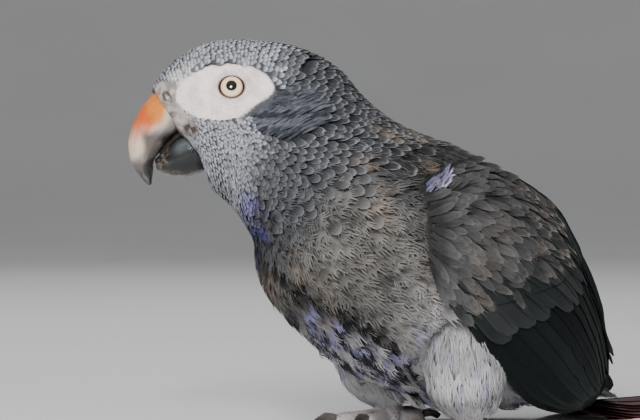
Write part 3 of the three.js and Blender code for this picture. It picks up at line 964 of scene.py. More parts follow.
# %% Skin finish
skin_look = new_material("bare_skin", 0.55, 0.35)
place = object_place()
pores = add("TexVoronoi", {"Vector": place, "Scale": 1500.0}, feature="F1").outputs["Distance"]
wrinkles = noise(place, 420.0, 5.0, 0.6)
flush = ranged(noise(place, 90.0, 3.0), 0.4, 0.75, 0.0, 0.2)
base = darkened(flush, stored("tint", "Color"), srgb(232, 200, 190))
base = darkened(ranged(wrinkles, 0.35, 0.65, 0.22, 0.0), base, (0.35, 0.3, 0.3))
base = darkened(ranged(pores, 0.2, 0.6, 0.0, 0.3), base, (0.62, 0.58, 0.58))
wire("Base Color", base)
wire("Normal", bump(wrinkles, 0.40 * MM, 0.6, bump(pores, 0.22 * MM, 0.7)))


def store(mesh, name, values, kind):
    """Stores a value or a vector for each point of a mesh."""
    layer = mesh.attributes.new(name, kind, "POINT")
    if kind == "FLOAT_COLOR":
        values = np.hstack((values, np.ones((len(values), 1))))
        layer.data.foreach_set("color", values.astype(np.float32).ravel())
    else:
        layer.data.foreach_set("value", values.astype(np.float32).ravel())


def finish_skin():
    along, around = nearest_on(body_net, skin_points)
    tint = markings(skin_points, along, around)
    by_thigh = fade(distances(skin_points, trees["thigh"]), 2.5, 5.0)
    tint = mixed(tint, DOWN_WHITE * 0.8, by_thigh[:, None])
    by_wing = fade(distances(skin_points, trees["wing"]), 2.1, 3.0)
    tint = mixed(tint, COVERT_DARK, by_wing[:, None])
    lid_rim = ridge(near_lids, 3.9, 0.48)
    shaded = 0.15 * ridge(near_lids, 5.2, 1.3)
    tint = mixed(tint * (1 - shaded[:, None] * (1.0, 0.95, 0.8)), LID_BROWN, lid_rim[:, None])
    store(skin_mesh, "tint", tint, "FLOAT_COLOR")
    skin_mesh.materials.clear()
    skin_mesh.materials.append(skin_look)
    skin_mesh.polygons.foreach_set("use_smooth", np.ones(len(skin_mesh.polygons), bool))
    return linked("skin", skin_mesh)


skin = hand_in(finish_skin())
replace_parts(skin, *FLESH)

# %% [markdown]
# ## Feathers
#
# A small feather is a thin, slightly cupped vane: a shaft down the middle, barbs running out from it,
# an edge that is tidy where the barbs hook together and frayed where they don't. Every vane here is a
# closed thin body: its top is a curved sheet, its underside meets in a keel along the shaft. The vane
# is drawn once, flat, and laid thousands of times. Laying it in the net's own measures bends each copy
# to the body and turns it the right way, and sinking its root to the skin while its tip stays at the
# surface makes the rows overlap like tiles.

# %% Patterns for one feather


def closed_strip(stations, across, path, half, thick):
    """A thin body along a path in (along, across, height), with rows of points across and a keel beneath.

    stations are the shares of the path where it has a row, across says how many points the top has,
    path(share) gives the middle line, half(share) half the width and thick(share) the depth of the keel.
    """
    points, faces = [], []
    spread = np.linspace(-1, 1, across)
    for share in stations:
        middle_along, middle_across, height = path(share)
        for b in spread:
            points.append((middle_along, middle_across + b * half(share), height, b))
        points.append((middle_along, middle_across, height - thick(share), 0.0))
    ring = across + 1
    for row in range(len(stations) - 1):
        for k in range(ring):
            a, b = row * ring + k, row * ring + (k + 1) % ring
            faces.append((a, b, b + ring, a + ring))
    last = (len(stations) - 1) * ring
    faces.append(tuple(range(ring))[::-1])
    faces.append(tuple(last + k for k in range(ring)))
    return points, faces


def pattern(strips):
    """Several strips as one pattern: its points, its faces and the share across for each point."""
    points, faces = [], []
    for strip_points, strip_faces in strips:
        faces += [tuple(i + len(points) for i in face) for face in strip_faces]
        points += strip_points
    return np.array(points), faces


def vane_width(share, root=0.35, fullest=0.5, blunt=0.62):
    """Half the width of a vane along its length, from 0 to 1, with a round end."""
    growing = root + (1 - root) * float(ease(share, 0, fullest))
    ending = max(0.0, (share - blunt) / (1 - blunt))
    return growing * math.sqrt(max(0.0, 1 - ending**2)) + 0.04


def small_vane(rows, across, root=0.35, fullest=0.5, blunt=0.6):
    stations = np.sin(np.linspace(0, 1, rows) * math.pi / 2) ** 0.85
    return closed_strip(
        stations, across, lambda a: (a, 0.0, 0.0), lambda a: vane_width(a, root, fullest, blunt),
        lambda a: 0.10 * (1.02 - a)
    )


def lock(start, end, width, rows=3, bow=0.0, rise=0.0):
    """A narrow tapering lock of barbs from one (along, across) to another."""
    (a0, b0), (a1, b1) = start, end

    def path(q):
        return mixed(a0, a1, q), mixed(b0, b1, q) + bow * math.sin(math.pi * q), rise * q

    points, faces = closed_strip(
        np.linspace(0, 1, rows) ** 0.9, 2, path,
        lambda q: width * (1 - q) ** 0.6 + 0.004, lambda q: 0.35 * width * (1.05 - q),
    )
    return [(x, y, height, min(1.0, max(-1.0, y))) for x, y, height, _ in points], faces


def frayed_vane(chance, rows, across, locks, spread=0.18, start=0.42, blunt=0.45, wild=0.16):
    """A vane whose end breaks up into locks."""
    strips = [small_vane(rows, across, blunt=blunt)]
    for k in range(locks):
        b = -1 + 2 * (k + 0.5) / locks + chance.uniform(-0.5, 0.5) / locks
        reach = math.sqrt(max(0.05, 1 - 0.75 * b * b)) + chance.uniform(-wild / 2, wild)
        root = (min(start + 0.12 * abs(b), reach - 0.2), 0.6 * b)
        bow, rise = 0.04 * chance.uniform(-1, 1), 0.04 * chance.uniform(-0.4, 1)
        strips.append(lock(root, (reach, b * (1 + spread)), 1.25 / locks, 3, bow, rise))
    return strips


def downy_tuft(chance, locks, spread):
    """A loose tuft of locks from one root."""
    strips = []
    for k in range(locks):
        b = -1 + 2 * (k + 0.5) / locks
        end = (
            chance.uniform(0.72, 1.08) * (1 - 0.12 * b * b), spread * (b + chance.uniform(-0.25, 0.25))
        )
        bow, rise = 0.12 * chance.uniform(-1, 1), 0.10 * chance.uniform(-0.5, 1)
        strips.append(lock((0, 0.2 * b), end, 1.0 / locks, 5, bow, rise))
    return strips


def fuzzy_tuft(chance, locks):
    """A soft feather whose barbs have come apart into locks over a short vane."""
    points, faces = small_vane(4, 3, blunt=0.3)
    strips = [([(0.6 * a, 0.85 * b, height, share) for a, b, height, share in points], faces)]
    for k in range(locks):
        b = -1 + 2 * (k + 0.5) / locks + chance.uniform(-0.12, 0.12)
        end = (chance.uniform(0.74, 1.12) * (1 - 0.15 * b * b), 1.15 * b + chance.uniform(-0.3, 0.3))
        bow, rise = 0.12 * chance.uniform(-1, 1), chance.uniform(-0.02, 0.04)
        strips.append(lock((0.22, 0.5 * b), end, 1.1 / locks, 4, bow, rise))
    return strips


def flight_vane(chance, rows=30, across=7, notches=3):
    """A long stiff vane with a raised shaft, and a few places where its edge has split."""
    splits = [
        (chance.uniform(0.35, 0.92), chance.choice((-1, 1)), chance.uniform(0.10, 0.28))
        for _ in range(notches)
    ]
    stations = np.linspace(0, 1, rows) ** 0.85

    def outline(share):
        return vane_width(share, 0.45, 0.30, 0.80)

    points, faces = closed_strip(stations, across, lambda a: (a, 0.0, 0.0), outline, lambda a: 0.05)
    for index, (a, b, height, across_share) in enumerate(points):
        for where_split, side_split, deep in splits:
            if across_share * side_split > 0.9:
                b *= 1 - deep * max(0.0, 1 - abs(a - where_split) / 0.03)
        points[index] = (a, b, height, across_share)
    shaft = closed_strip(
        np.linspace(0, 0.96, 12), 2, lambda a: (a, 0.0, 0.035 * (1 - 0.6 * a)),
        lambda a: 0.045 * (1 - 0.75 * a), lambda a: 0.05
    )
    return [(points, faces), shaft]


PATTERN_DRAWS = np.random.default_rng(5)
PATTERNS = {
    "crown": [pattern(frayed_vane(PATTERN_DRAWS, 4, 3, 3, 0.0, 0.5, 0.5, 0.1)) for _ in range(4)],
    "scallop": [pattern(frayed_vane(PATTERN_DRAWS, 6, 5, 9, 0.04, 0.5, 0.5, 0.12)) for _ in range(5)],
    "fuzzy": [pattern(fuzzy_tuft(PATTERN_DRAWS, 8)) for _ in range(7)],
    "hair": [pattern(downy_tuft(PATTERN_DRAWS, 4, 0.7)) for _ in range(4)],
    "down": [pattern(downy_tuft(PATTERN_DRAWS, 7, 1.0)) for _ in range(4)],
    "covert": [pattern(frayed_vane(PATTERN_DRAWS, 6, 5, 9, 0.10, 0.45, 0.42, 0.26)) for _ in range(6)],
    "flight": [pattern(flight_vane(PATTERN_DRAWS)) for _ in range(5)],
}
print(
    "corners in each pattern:",
    {name: sum(len(f) - 2 for f in kinds[0][1]) for name, kinds in PATTERNS.items()}
)

# %% Laying feathers on a net
BAKE_PATCH = 0.003


class Draws:
    """Random numbers for a batch of feathers, the same ones at each run."""

    def __init__(self, seed, count, side="left"):
        self.random, self.count = np.random.default_rng(seed + (side == "right")), count

    def within(self, low, high):
        return self.random.uniform(low, high, self.count)

    def about(self, middle, spread):
        return self.random.normal(middle, spread, self.count)


class Feathers:
    """What is known of each feather of a batch: its root on the net, its own measures and its
    colour."""

    def __init__(self, net, along, around, **measures):
        self.net, self.along, self.around, self.tint = net, along, around, None
        measures = {"cup": 0.0, "curl": 0.0, "tilt": 0.0, "span": 0.0, "flat": 1.0, **measures}
        self.measures = {
            name: np.broadcast_to(np.asarray(v, float), along.shape).copy() for name,
            v in measures.items()
        }

    def __len__(self):
        return len(self.along)

    def __getitem__(self, name):
        return self.measures[name]

    def __setitem__(self, name, values):
        self.measures[name] = values

    def only(self, mask):
        """A batch of the feathers that are in the mask."""
        part = Feathers(
            self.net, self.along[mask], self.around[mask],
            **{k: v[mask] for k, v in self.measures.items()}
        )
        part.tint = None if self.tint is None else self.tint[mask]
        return part

    def reached(self, share=0.7):
        """The place on the surface under a share of each feather's length."""
        down = np.maximum(self.net.read(self.net.down, self.along, self.around), 40)
        return self.along + share * self["length"] * np.cos(self["turn"]) / down, self.around


def lay(feathers, kind, islands):
    """Points, faces and the stored values of a batch of feathers of one kind."""
    net = feathers.net
    batches = []
    variants = PATTERNS[kind]
    pick = np.arange(len(feathers)) % len(variants)
    for number, (shape, faces) in enumerate(variants):
        chosen = np.flatnonzero(pick == number)
        if not len(chosen):
            continue
        get = {name: v[chosen][:, None] for name, v in feathers.measures.items()}
        s0, t0 = feathers.along[chosen][:, None], feathers.around[chosen][:, None]
        a, b, height, across = (shape[:, i][None] for i in range(4))
        flip = np.where(get["seed"] > 0.5, 1.0, -1.0)
        forth = a * get["length"]
        sideways = b * flip * get["width"] / 2
        cos, sin = np.cos(get["turn"]), np.sin(get["turn"])
        middle_s = s0 + 0.5 * get["length"] / net.read(net.down, s0, t0)
        down = np.where(
            get["span"] > 0, get["length"] / np.maximum(get["span"], 1e-6),
            net.read(net.down, middle_s, t0)
        )
        over = np.maximum(net.read(net.over, middle_s, t0), 20)
        s = s0 + (forth * cos - sideways * sin) / down
        t = t0 + (forth * sin + sideways * cos) / over
        rising = np.clip((a + 0.15) / (get["flat"] + 0.15), 0, 1)
        sunk = mixed(get["root"], get["tip"], (rising * rising * (3 - 2 * rising)) ** 0.8)
        cupped = get["cup"] * b**2 * get["width"] * ease(a, 0.1, 0.6)
        curled = get["curl"] * ease(a, 0.6, 1.1) * get["length"]
        sunk = sunk + cupped - height * get["width"]
        sunk = sunk - curled + get["tilt"] * b * flip * get["width"] / 2
        upright = net.normal(s, t)
        points = net.place(s, t) - upright * sunk[..., None]
        sidewards = unit(net.place(s0, t0 + 0.004) - net.place(s0, t0 - 0.004))
        lean = (4 * get["cup"] * b * flip + get["tilt"] * flip) * ease(a, 0.2, 0.7)
        facing = unit(upright + lean[..., None] * sidewards)
        count = shape.shape[0]
        offset, handed = np.arange(len(chosen)) * count, flip[..., None] * net.handed > 0
        batches.append(
            dict(
                points=points.reshape(-1, 3),
                facing=facing.reshape(-1, 3),
                faces=[
                    (
                        offset[:, None, None] + np.where(handed, group, group[:, ::-1])
                    ).reshape(-1, group.shape[1])
                    for group in by_corners(faces)
                ],
                vane_along=np.broadcast_to(a, points.shape[:2]).ravel(),
                vane_across=np.broadcast_to(across, points.shape[:2]).ravel(),
                seed=np.repeat(feathers["seed"][chosen], count),
                pale=np.repeat(feathers["pale"][chosen], count),
                tint=np.repeat(feathers.tint[chosen], count, axis=0),
                spot=islands(feathers.along[chosen], feathers.around[chosen])[:, None]
                + np.stack(np.broadcast_arrays(b * 0.5, a - 0.5), -1) * BAKE_PATCH,
            )
        )
    return batches


def coat_piece(name, batches, material):
    """One mesh from batches of feathers, with their stored values and their patches on the unwrap."""
    points, facing = (
        np.concatenate([batch[part] for batch in batches]) for part in ("points", "facing")
    )
    groups, normals, start = [], [], 0
    for batch in batches:
        groups += [group + start for group in batch["faces"]]
        start += len(batch["points"])
    thing = mesh_object(name, points, groups, material)
    mesh = thing.data
    for group in groups:  # shaded with the lie of the coat; the undersides face the other way
        slope = np.cross(
            points[group[:, 2]] - points[group[:, 0]], points[group[:, -1]] - points[group[:, 1]]
        )
        way = np.where((slope * facing[group[:, 0]]).sum(-1) < 0, -1.0, 1.0)
        normals.append((facing[group] * way[:, None, None]).reshape(-1, 3))
    mesh.normals_split_custom_set(np.concatenate(normals).tolist())
    for value in ("vane_along", "vane_across", "seed", "pale"):
        store(mesh, value, np.concatenate([b[value] for b in batches]), "FLOAT")
    store(mesh, "tint", np.concatenate([b["tint"] for b in batches]), "FLOAT_COLOR")
    spots = np.concatenate([b["spot"].reshape(-1, 2) for b in batches])
    corners = np.concatenate([group.ravel() for group in groups])
    mesh.uv_layers.new(name="OFBake").data.foreach_set("uv", spots[corners].astype(np.float32).ravel())
    coat_count.append(sum(len(group) * (group.shape[1] - 2) for group in groups))
    print(name, len(points), "points,", coat_count[-1], "triangles")
    return hand_in(thing)


coat_count = []

# %% Feather finish


def new_group(name, inputs, outputs):
    """A shader node group with named number sockets: inputs with their usual values, and outputs."""
    group = bpy.data.node_groups.new(name, "ShaderNodeTree")
    for label, value in inputs.items():
        group.interface.new_socket(
            label, in_out="INPUT", socket_type="NodeSocketFloat"
        ).default_value = value
    for label in outputs:
        group.interface.new_socket(label, in_out="OUTPUT", socket_type="NodeSocketFloat")
    bench["tree"] = group
    return group, group.nodes.new("NodeGroupInput").outputs, group.nodes.new("NodeGroupOutput").inputs


def use_group(group, **inputs):
    node = add("Group", node_tree=group)
    for name, value in inputs.items():
        put(node.inputs[name], value)
    return node.outputs


FULL_TURN = 6.2832
barbs, inside, out = new_group(
    "feather_barbs",
    {"Along": 0.5, "Across": 0.0, "Seed": 0.0, "Count": 14.0, "Slant": 0.45},
    ("Barb", "Shaft", "Edge", "Spot", "Height"),
)
side = sums("ABSOLUTE", inside["Across"])
lean = times(side, inside["Slant"])
drawn = joined_as_vector(X=inside["Along"], Y=inside["Across"], Z=times(inside["Seed"], 37.0))
unruly = noise(drawn, 5.0, 2.0)
run = sums("ADD", sums("SUBTRACT", inside["Along"], lean), times(unruly, 0.10))
phase = times(sums("ADD", run, inside["Seed"]), times(inside["Count"], FULL_TURN))
wave = sums("MULTIPLY_ADD", sums("SINE", phase), 0.5, 0.5)
put(out["Barb"], wave)
put(out["Shaft"], ranged(side, 0.03, 0.12, 1.0, 0.0))
# masks for the pale tip, rim and spot: partly the feather's own pale margin, partly painted highlight
# where the tip catches the light
tip = ranged(inside["Along"], 0.80, 1.0)
rim = ranged(side, 0.70, 1.0)
late = ranged(inside["Along"], 0.45, 0.85)
spot = times(ranged(inside["Along"], 0.55, 0.95), ranged(side, 0.35, 1.0, 1.0, 0.0))
put(out["Spot"], spot)
edge = sums("MAXIMUM", tip, times(rim, late))
put(out["Edge"], edge)
put(out["Height"], sums("ADD", times(wave, 0.5), ranged(side, 0.0, 0.15, 0.6, 0.0)))


def feather_material(
    name, roughness, count, slant, pale_to, shaft_share=0.2, dark=(0.6, 0.45, 0.8), barb_share=0.35,
    specular=0.3, mark="Edge"
):
    """A finish for vanes: the marking's colour with barbs, a shaft, a root darkened as painted shade
    where the feather above overlaps it, and a paler edge or spot, partly the vane's pale margin and
    partly painted highlight where it catches the light.

    dark is how dark the painted shade at the root is, the share of the length that is darkest, and where
    the dark ends.
    """
    material = new_material(name, roughness, specular)
    along, across = stored("vane_along"), stored("vane_across")
    seed, pale = stored("seed"), stored("pale")
    vane = use_group(barbs, Along=along, Across=across, Seed=seed, Count=count, Slant=slant)
    tint = stored("tint", "Color")
    colour = darkened(ranged(seed, 0.0, 1.0, 0.0, 0.25), tint, (0.45, 0.43, 0.42))
    # painted shade: the root is darkened where the feather above overlaps it and shades it
    root = ranged(along, dark[1], dark[2], dark[0], 0.0)
    colour = darkened(root, colour, (0.10, 0.10, 0.11))
    colour = darkened(times(vane["Barb"], barb_share), colour, (0.45, 0.45, 0.46))
    colour = darkened(times(vane["Shaft"], shaft_share), colour, (0.25, 0.25, 0.26))
    # the pale edge or spot is partly the vane's pale margin and partly painted highlight where its tip
    # catches the light
    colour = blended(times(vane[mark], pale, clamp=True), colour, pale_to)
    wire("Base Color", colour)
    wire("Normal", bump(vane["Height"], 0.08 * MM, 0.5))
    return material


# the crown's pale tip dots are partly pale feather tips and partly painted highlight
crown_look = feather_material(
    "crown_feather", 0.7, 4.0, 0.4, srgb(188, 190, 202), 0.0, (0.7, 0.5, 0.8), 0.2, mark="Spot"
)
contour_look = feather_material(
    "contour_feather", 0.75, 9.0, 0.5, srgb(136, 138, 143), 0.1, (0.7, 0.45, 1.0), specular=0.15
)
fuzzy_look = feather_material(
    "loose_feather", 0.85, 5.0, 0.5, srgb(142, 138, 133), 0.0, (0.42, 0.2, 0.7), 0.3, 0.1
)
down_look = feather_material(
    "down", 0.85, 4.0, 0.5, srgb(225, 223, 226), 0.0, (0.28, 0.0, 0.5), 0.15, 0.15
)
ear_look = feather_material(
    "ear_covert", 0.6, 3.0, 0.3, srgb(150, 152, 160), 0.0, (0.3, 0.1, 0.6), 0.15, 0.15
)

# %% Rows of feathers over the body


def rows_on(net, spacing, counts, first, last):
    """Staggered rows: spacing(along) mm between rows, counts(along) feathers in a row."""
    along, around = [], []
    s, row = first, 0
    while s < last:
        number = int(counts(s))
        along.append(np.full(number, s))
        around.append((np.arange(number) + 0.5 * (row % 2)) / number)
        s += spacing(s) / np.percentile(net.down[int(s * (len(net.down) - 1))], 75)
        row += 1
    return np.concatenate(along), np.concatenate(around)


def body_islands(along, around):
    """Where the body's net lies on the unwrap."""
    return np.stack((0.03 + 0.60 * (around % 1), 0.03 + 0.94 * along), -1)


ROW_ALONG = [0.0, 0.075, 0.13, 0.176, 0.228, 0.30, 0.457, 0.777, 1.0]
ROW_SPACING = [0.9, 1.15, 1.35, 1.8, 2.4, 2.8, 2.9, 3.0, 3.2]
ROW_COUNT = [68, 92, 92, 84, 76, 76, 76, 68, 48]
along, around = rows_on(
    body_net,
    lambda s: np.interp(s, ROW_ALONG, ROW_SPACING),
    lambda s: round(float(np.interp(s, ROW_ALONG, ROW_COUNT)) / 4) * 4,
    0.0, 0.985,
)
chance = Draws(21, len(along))
gap = np.interp(along, ROW_ALONG, ROW_SPACING)
along = along + chance.about(0, 0.12) * gap / np.maximum(
    body_net.read(body_net.down, along, around), 60
)
around = around + chance.about(0, 0.12) * gap / np.maximum(
    body_net.read(body_net.over, along, around), 30
)
wide = body_net.read(body_net.over, along, around) / np.interp(along, ROW_ALONG, ROW_COUNT)
from_bare = bare_distance(body_net.place(along, around))
plumage = Feathers(
    body_net, along, around,
    length=gap * chance.within(2.4, 2.9), width=np.maximum(wide, 0.8) * chance.within(1.3, 1.6),
    turn=chance.about(0, 0.10),
    root=mixed(-0.05, 0.3 + np.interp(along, DEPTH_ALONG, DEPTH_BODY), ease(from_bare, 0.3, 3.2)),
    tip=chance.within(0.0, 0.12) * gap / 2 - 0.45 * fade(from_bare, 0.5, 4),
    cup=chance.within(0.02, 0.06), curl=chance.about(0.01, 0.015), flat=chance.within(0.75, 0.95),
    seed=chance.within(0, 1), pale=chance.within(0.35, 0.9),
)
print(len(plumage), "roots on the body")

# %% Feathers that other parts cover


def covered_by(points, normals, tree, reach):
    """Which points have a solid over them, within reach."""
    rays = zip(points + 0.2 * normals, normals)
    return np.array([tree.ray_cast(Vector(p), Vector(n), reach)[0] is not None for p, n in rays])


def cover_height(points, normals, tree, reach=16.0):
    """How high a solid stands over points of the surface."""
    hits = [
        tree.ray_cast(Vector(p), Vector(-n), reach)[3] for p,
        n in zip(points + reach * normals, normals)
    ]
    return np.array([0.0 if hit is None else reach - hit for hit in hits])


def agreement(points, normals):
    """How well the net's normals agree with those of the solids' faces nearest to them: 1 where they
    are equal."""
    nearest = np.array([body_tree.find_nearest(Vector(p))[1] for p in points])
    return (normals * nearest).sum(-1)


wing_trees = solid_tree(*both_sides("wing_coverts", "secondaries"))
ends, end_normals = body_net.both(*plumage.reached(0.6))
roots, root_normals = body_net.both(plumage.along, plumage.around)
ends_under_wing = covered_by(ends, end_normals, wing_trees, 14)
hidden = ends_under_wing & covered_by(roots, root_normals, wing_trees, 14)
hidden &= (distances(ends, wing_trees) > 1.5) | (plumage.along > 0.6)
thigh_over_ends = cover_height(ends, end_normals, trees["thigh"])
thigh_over_tips = cover_height(*body_net.both(*plumage.reached(0.95)), trees["thigh"])
hidden |= (thigh_over_ends > 3.5) | (cover_height(roots, root_normals, trees["thigh"]) > 2.5)
hidden |= (thigh_over_ends > 0.6) & (np.abs(end_normals[:, 0]) < 0.35)
# over the top of the thigh
drape = (thigh_over_tips > 0.05) & (thigh_over_ends < 3.5) & ~ends_under_wing
plumage["tip"] -= np.where(drape, np.minimum(thigh_over_tips, 4.0) + 0.5, 0)
hidden |= agreement(roots, root_normals) < np.where(plumage.along < 0.25, 0.35, 0.15)
hidden |= (distances(ends, body_tree) > 1.2) & (plumage.along < 0.2)
bare = (bare_distance(ends) < 0.1) | (bare_distance(roots) < -1.6) | (distances(ends, bill_tree) < 0.5)
forwards, above, outwards = by_the_eye(roots)
in_ear = (ear_share(forwards, above) > 0.55) & (outwards > -9)
plumage = plumage.only(~(hidden | bare | in_ear))
plumage.tint = markings(body_net.place(*plumage.reached(0.75)), *plumage.reached(0.75))
print(len(plumage), "feathers left in view")

# %% Kinds of feather over the body
s, t = plumage.along, plumage.around
low_side = 1 - np.abs(2 * (t % 1) - 1)
past_crease = t - crease_round(s)
chance.count = len(plumage)
neck_end = 0.19 + 0.24 * (0.82 - low_side) + chance.about(0, 0.03)
kinds = np.select(
    [s < 0.16 + chance.about(0, 0.010), s < neck_end, low_side < 0.42], ["head", "neck", "mantle"],
    "breast",
)
fluffy = (kinds == "mantle") | (kinds == "breast")
plumage["turn"] += fluffy * np.where(kinds == "breast", 0.30, 0.14) * chance.about(0, 1)
plumage["length"] *= np.where(kinds == "mantle", 1.15, 1.0)
crowned = ease(s, 0.03, 0.07) * fade(s, 0.17, 0.25) * fade(low_side, 0.2, 0.42)
groove = ridge(past_crease, 0.008, 0.012) * fade(s, 0.60, 0.68)
plumage["tip"] += 2.0 * groove * ease(s, 0.22, 0.28) - 0.8 * crowned
plumage["root"] -= 0.5 * crowned
plumage["pale"] *= 1 - 0.65 * ease(s, 0.10, 0.16) * ease(low_side, 0.4, 0.6)
under = (past_crease > 0.004) & (t < 0.64) & (s > 0.33) & (s < 0.7)
pick = chance.within(0, 1)
plumage.tint[under & (pick < 0.16)] = srgb(146, 144, 180)
plumage.tint[under & (pick > 0.66)] = srgb(60, 60, 68)
plumage.tint[
    (s > 0.45) & (past_crease < 0) & (past_crease > -0.12) & (pick < 0.12)
] = srgb(166, 164, 192)
plumage.tint *= 1 + (fluffy * chance.within(-0.25, 0.25))[:, None]
KINDS = {
    "head": ("crown", crown_look, "head_grey"),
    "neck": ("scallop", contour_look, "plumage_grey"),
    "mantle": ("fuzzy", fuzzy_look, "plumage_grey"),
    "breast": ("fuzzy", fuzzy_look, "plumage_grey"),
}
for part, (kind, look, slot) in KINDS.items():
    for side in SIDES:
        batch = plumage.only((kinds == part) & ((t % 1 < 0.5) == (side == "left")))
        coat_piece(f"{part}_feathers_{side}", lay(batch, kind, body_islands), look)

# %% [markdown]
# ## Ear and chin
#
# The feathers over the ear have loose barbs, so that sound gets through, and they stream back from the
# face in dark locks. Under the chin there is pale down where the throat meets the lower bill. Both lie
# another way from the rows round them, so each gets roots and a direction of its own on the same net.

# %% Ear coverts


def ear_coverts(side):
    """Loose dark locks that cover the ear and stream back from the face."""
    forwards, above = np.meshgrid(np.arange(-28, 0, 1.0), np.arange(-19, 4, 0.85))
    chance = Draws(25, forwards.shape, side)
    forwards = (forwards + chance.within(-0.4, 0.4)).ravel()
    above = (above + chance.within(-0.5, 0.5)).ravel()
    kept = (ear_share(forwards, above) > 0.25) & (outline_distance(BARE_FACE, forwards, above) > -0.9)
    outwards, found = OUTWARDS[side], []
    for f, u in zip(forwards[kept], above[kept]):
        hit = body_tree.ray_cast(
            Vector(head_point(f, u, 40 * outwards)), Vector(-outwards * HEAD_LEFT), 60
        )[0]
        if hit is not None:
            found.append((f, u, hit))
    forwards, above, spots = (np.array(part) for part in zip(*found))
    along, around = nearest_on(body_net, spots)
    chance.count = len(along)
    feathers = Feathers(
        body_net, along + chance.about(0, 0.002), around + chance.about(0, 0.004),
        length=chance.within(4.5, 7.0), width=chance.within(1.0, 1.6),
        turn=outwards * (-0.58 + 0.02 * (above + 8)) + chance.about(0, 0.07),
        root=0.15 + 0.9 * ease(outline_distance(BARE_FACE, forwards, above), 0.5, 3.5),
        tip=chance.within(-0.6, -0.1), curl=chance.about(0.0, 0.02), flat=0.7,
        seed=chance.within(0, 1), pale=chance.within(0, 0.8),
    )
    streaks = clouds(np.stack((forwards * 0.2, above * 2.0, above * 0), -1), 4, 19)[:, None]
    feathers.tint = mixed(srgb(104, 107, 115), srgb(52, 55, 62), ease(streaks, -0.8, 0.6))
    return feathers


def chin_tuft(side):
    """Pale loose down in the angle between the lower bill and the throat."""
    chance = Draws(27, 150, side)
    places = chance.within(-3.5, 8.5), chance.within(-30.0, -19.5), OUTWARDS[side] * chance.within(0, 8)
    along, around = nearest_on(body_net, np.array([head_point(*place) for place in zip(*places)]))
    feathers = Feathers(
        body_net, along, around, length=chance.within(2.6, 4.2), width=chance.within(1.4, 2.2),
        turn=chance.about(0, 0.35), root=0.1, tip=chance.within(-0.9, -0.2), curl=chance.about(0, 0.03),
        seed=chance.within(0, 1), pale=chance.within(0, 0.3),
    )
    feathers.tint = mixed(srgb(120, 121, 128), srgb(178, 176, 178), chance.within(0, 1)[:, None])
    flat, normals = body_net.both(along, around)
    return feathers.only((agreement(flat, normals) > 0.5) & (distances(flat, bill_tree) > 1.5))


for side in SIDES:
    coat_piece(
        f"ear_feathers_{side}", lay(ear_coverts(side), "hair", body_islands), ear_look
    )
    coat_piece(
        f"chin_feathers_{side}", lay(chin_tuft(side), "down", body_islands), down_look
    )

# %% [markdown]
# ## Wings
#
# The folded wing is tiled from the wrist backwards: small lesser coverts, then median and greater
# coverts, and from under them the long secondaries, whose ends make the wing's lower outline. The
# innermost secondary lies on top, and each next one slips out from under it towards the lower edge. The
# wing's net is drawn between its two edges as they are seen from the side, so its threads run the way
# the feathers do. Under the long feathers lie more of their kind, hidden but for a dark sliver here and
# there: for these a copy of the solid sinks below the vanes.

# %% Nets over the wings
# The wing's upper and lower edges seen from the side, as shares of its own box: (backwards, upwards)
WING_UPPER = [
    (0.046, 0.927), (0.256, 1.0), (0.522, 0.927), (0.742, 0.804), (0.893, 0.594), (0.984, 0.372),
    (1.0, 0.174)
]
WING_LOWER = [
    (0.018, 0.606), (0.073, 0.495), (0.183, 0.322), (0.32, 0.162), (0.43, 0.069), (0.54, 0.02),
    (0.641, 0.001)
]
PRIMARY_UPPER = [(0.22, 1.0), (0.55, 0.72), (0.86, 0.5), (1.0, 0.28)]
PRIMARY_LOWER = [(0.0, 0.25), (0.4, 0.07), (0.75, 0.0), (0.96, 0.0)]


def box_of(*names):
    lows, highs = zip(*(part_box(name) for name in names))
    return np.min(np.array(lows), 0) / MM, np.max(np.array(highs), 0) / MM


def side_net(side, names, upper, lower, rows, columns):
    low, high = box_of(*names)
    along = np.linspace(0.0, 1.0, rows)
    edges = [low[1:] + smooth_line(line, along) * (high[1:] - low[1:]) for line in (upper, lower)]
    share = np.linspace(0, 1, columns)[None, :, None]
    flat = mixed(edges[0][:, None], edges[1][:, None], share)
    outwards = OUTWARDS[side]
    inner = (low if side == "left" else high)[0] - 2 * outwards
    grid = np.concatenate((np.full(flat.shape[:2] + (1,), inner), flat), axis=2)
    return net_facing(solid_tree(*names), grid, (-outwards, 0, 0), 3, outwards)


wing_nets, primary_nets = {}, {}
for side in SIDES:
    wing_nets[side] = side_net(
        side, [f"wing_coverts_{side}", f"secondaries_{side}"], WING_UPPER, WING_LOWER, 110, 60
    )
    primary_nets[side] = side_net(side, [f"primaries_{side}"], PRIMARY_UPPER, PRIMARY_LOWER, 40, 16)
    print(
        side, "wing: threads of", wing_nets[side].down.mean().round(1), "by",
        wing_nets[side].over.mean().round(1), "mm"
    )

# %% Wing feathers
COVERT_GREY = srgb(82, 82, 83)
COVERT_BROWN = srgb(104, 97, 91)
COVERT_GREEN = srgb(44, 50, 49)
FLIGHT_GREEN = srgb(24, 32, 31)
FLIGHT_DARK = srgb(17, 19, 21)
WING_ISLANDS = {"left": 0.655, "right": 0.825}


def wing_islands(side):
    return lambda along, around: np.stack((WING_ISLANDS[side] + 0.16 * around, 0.03 + 0.45 * along), -1)


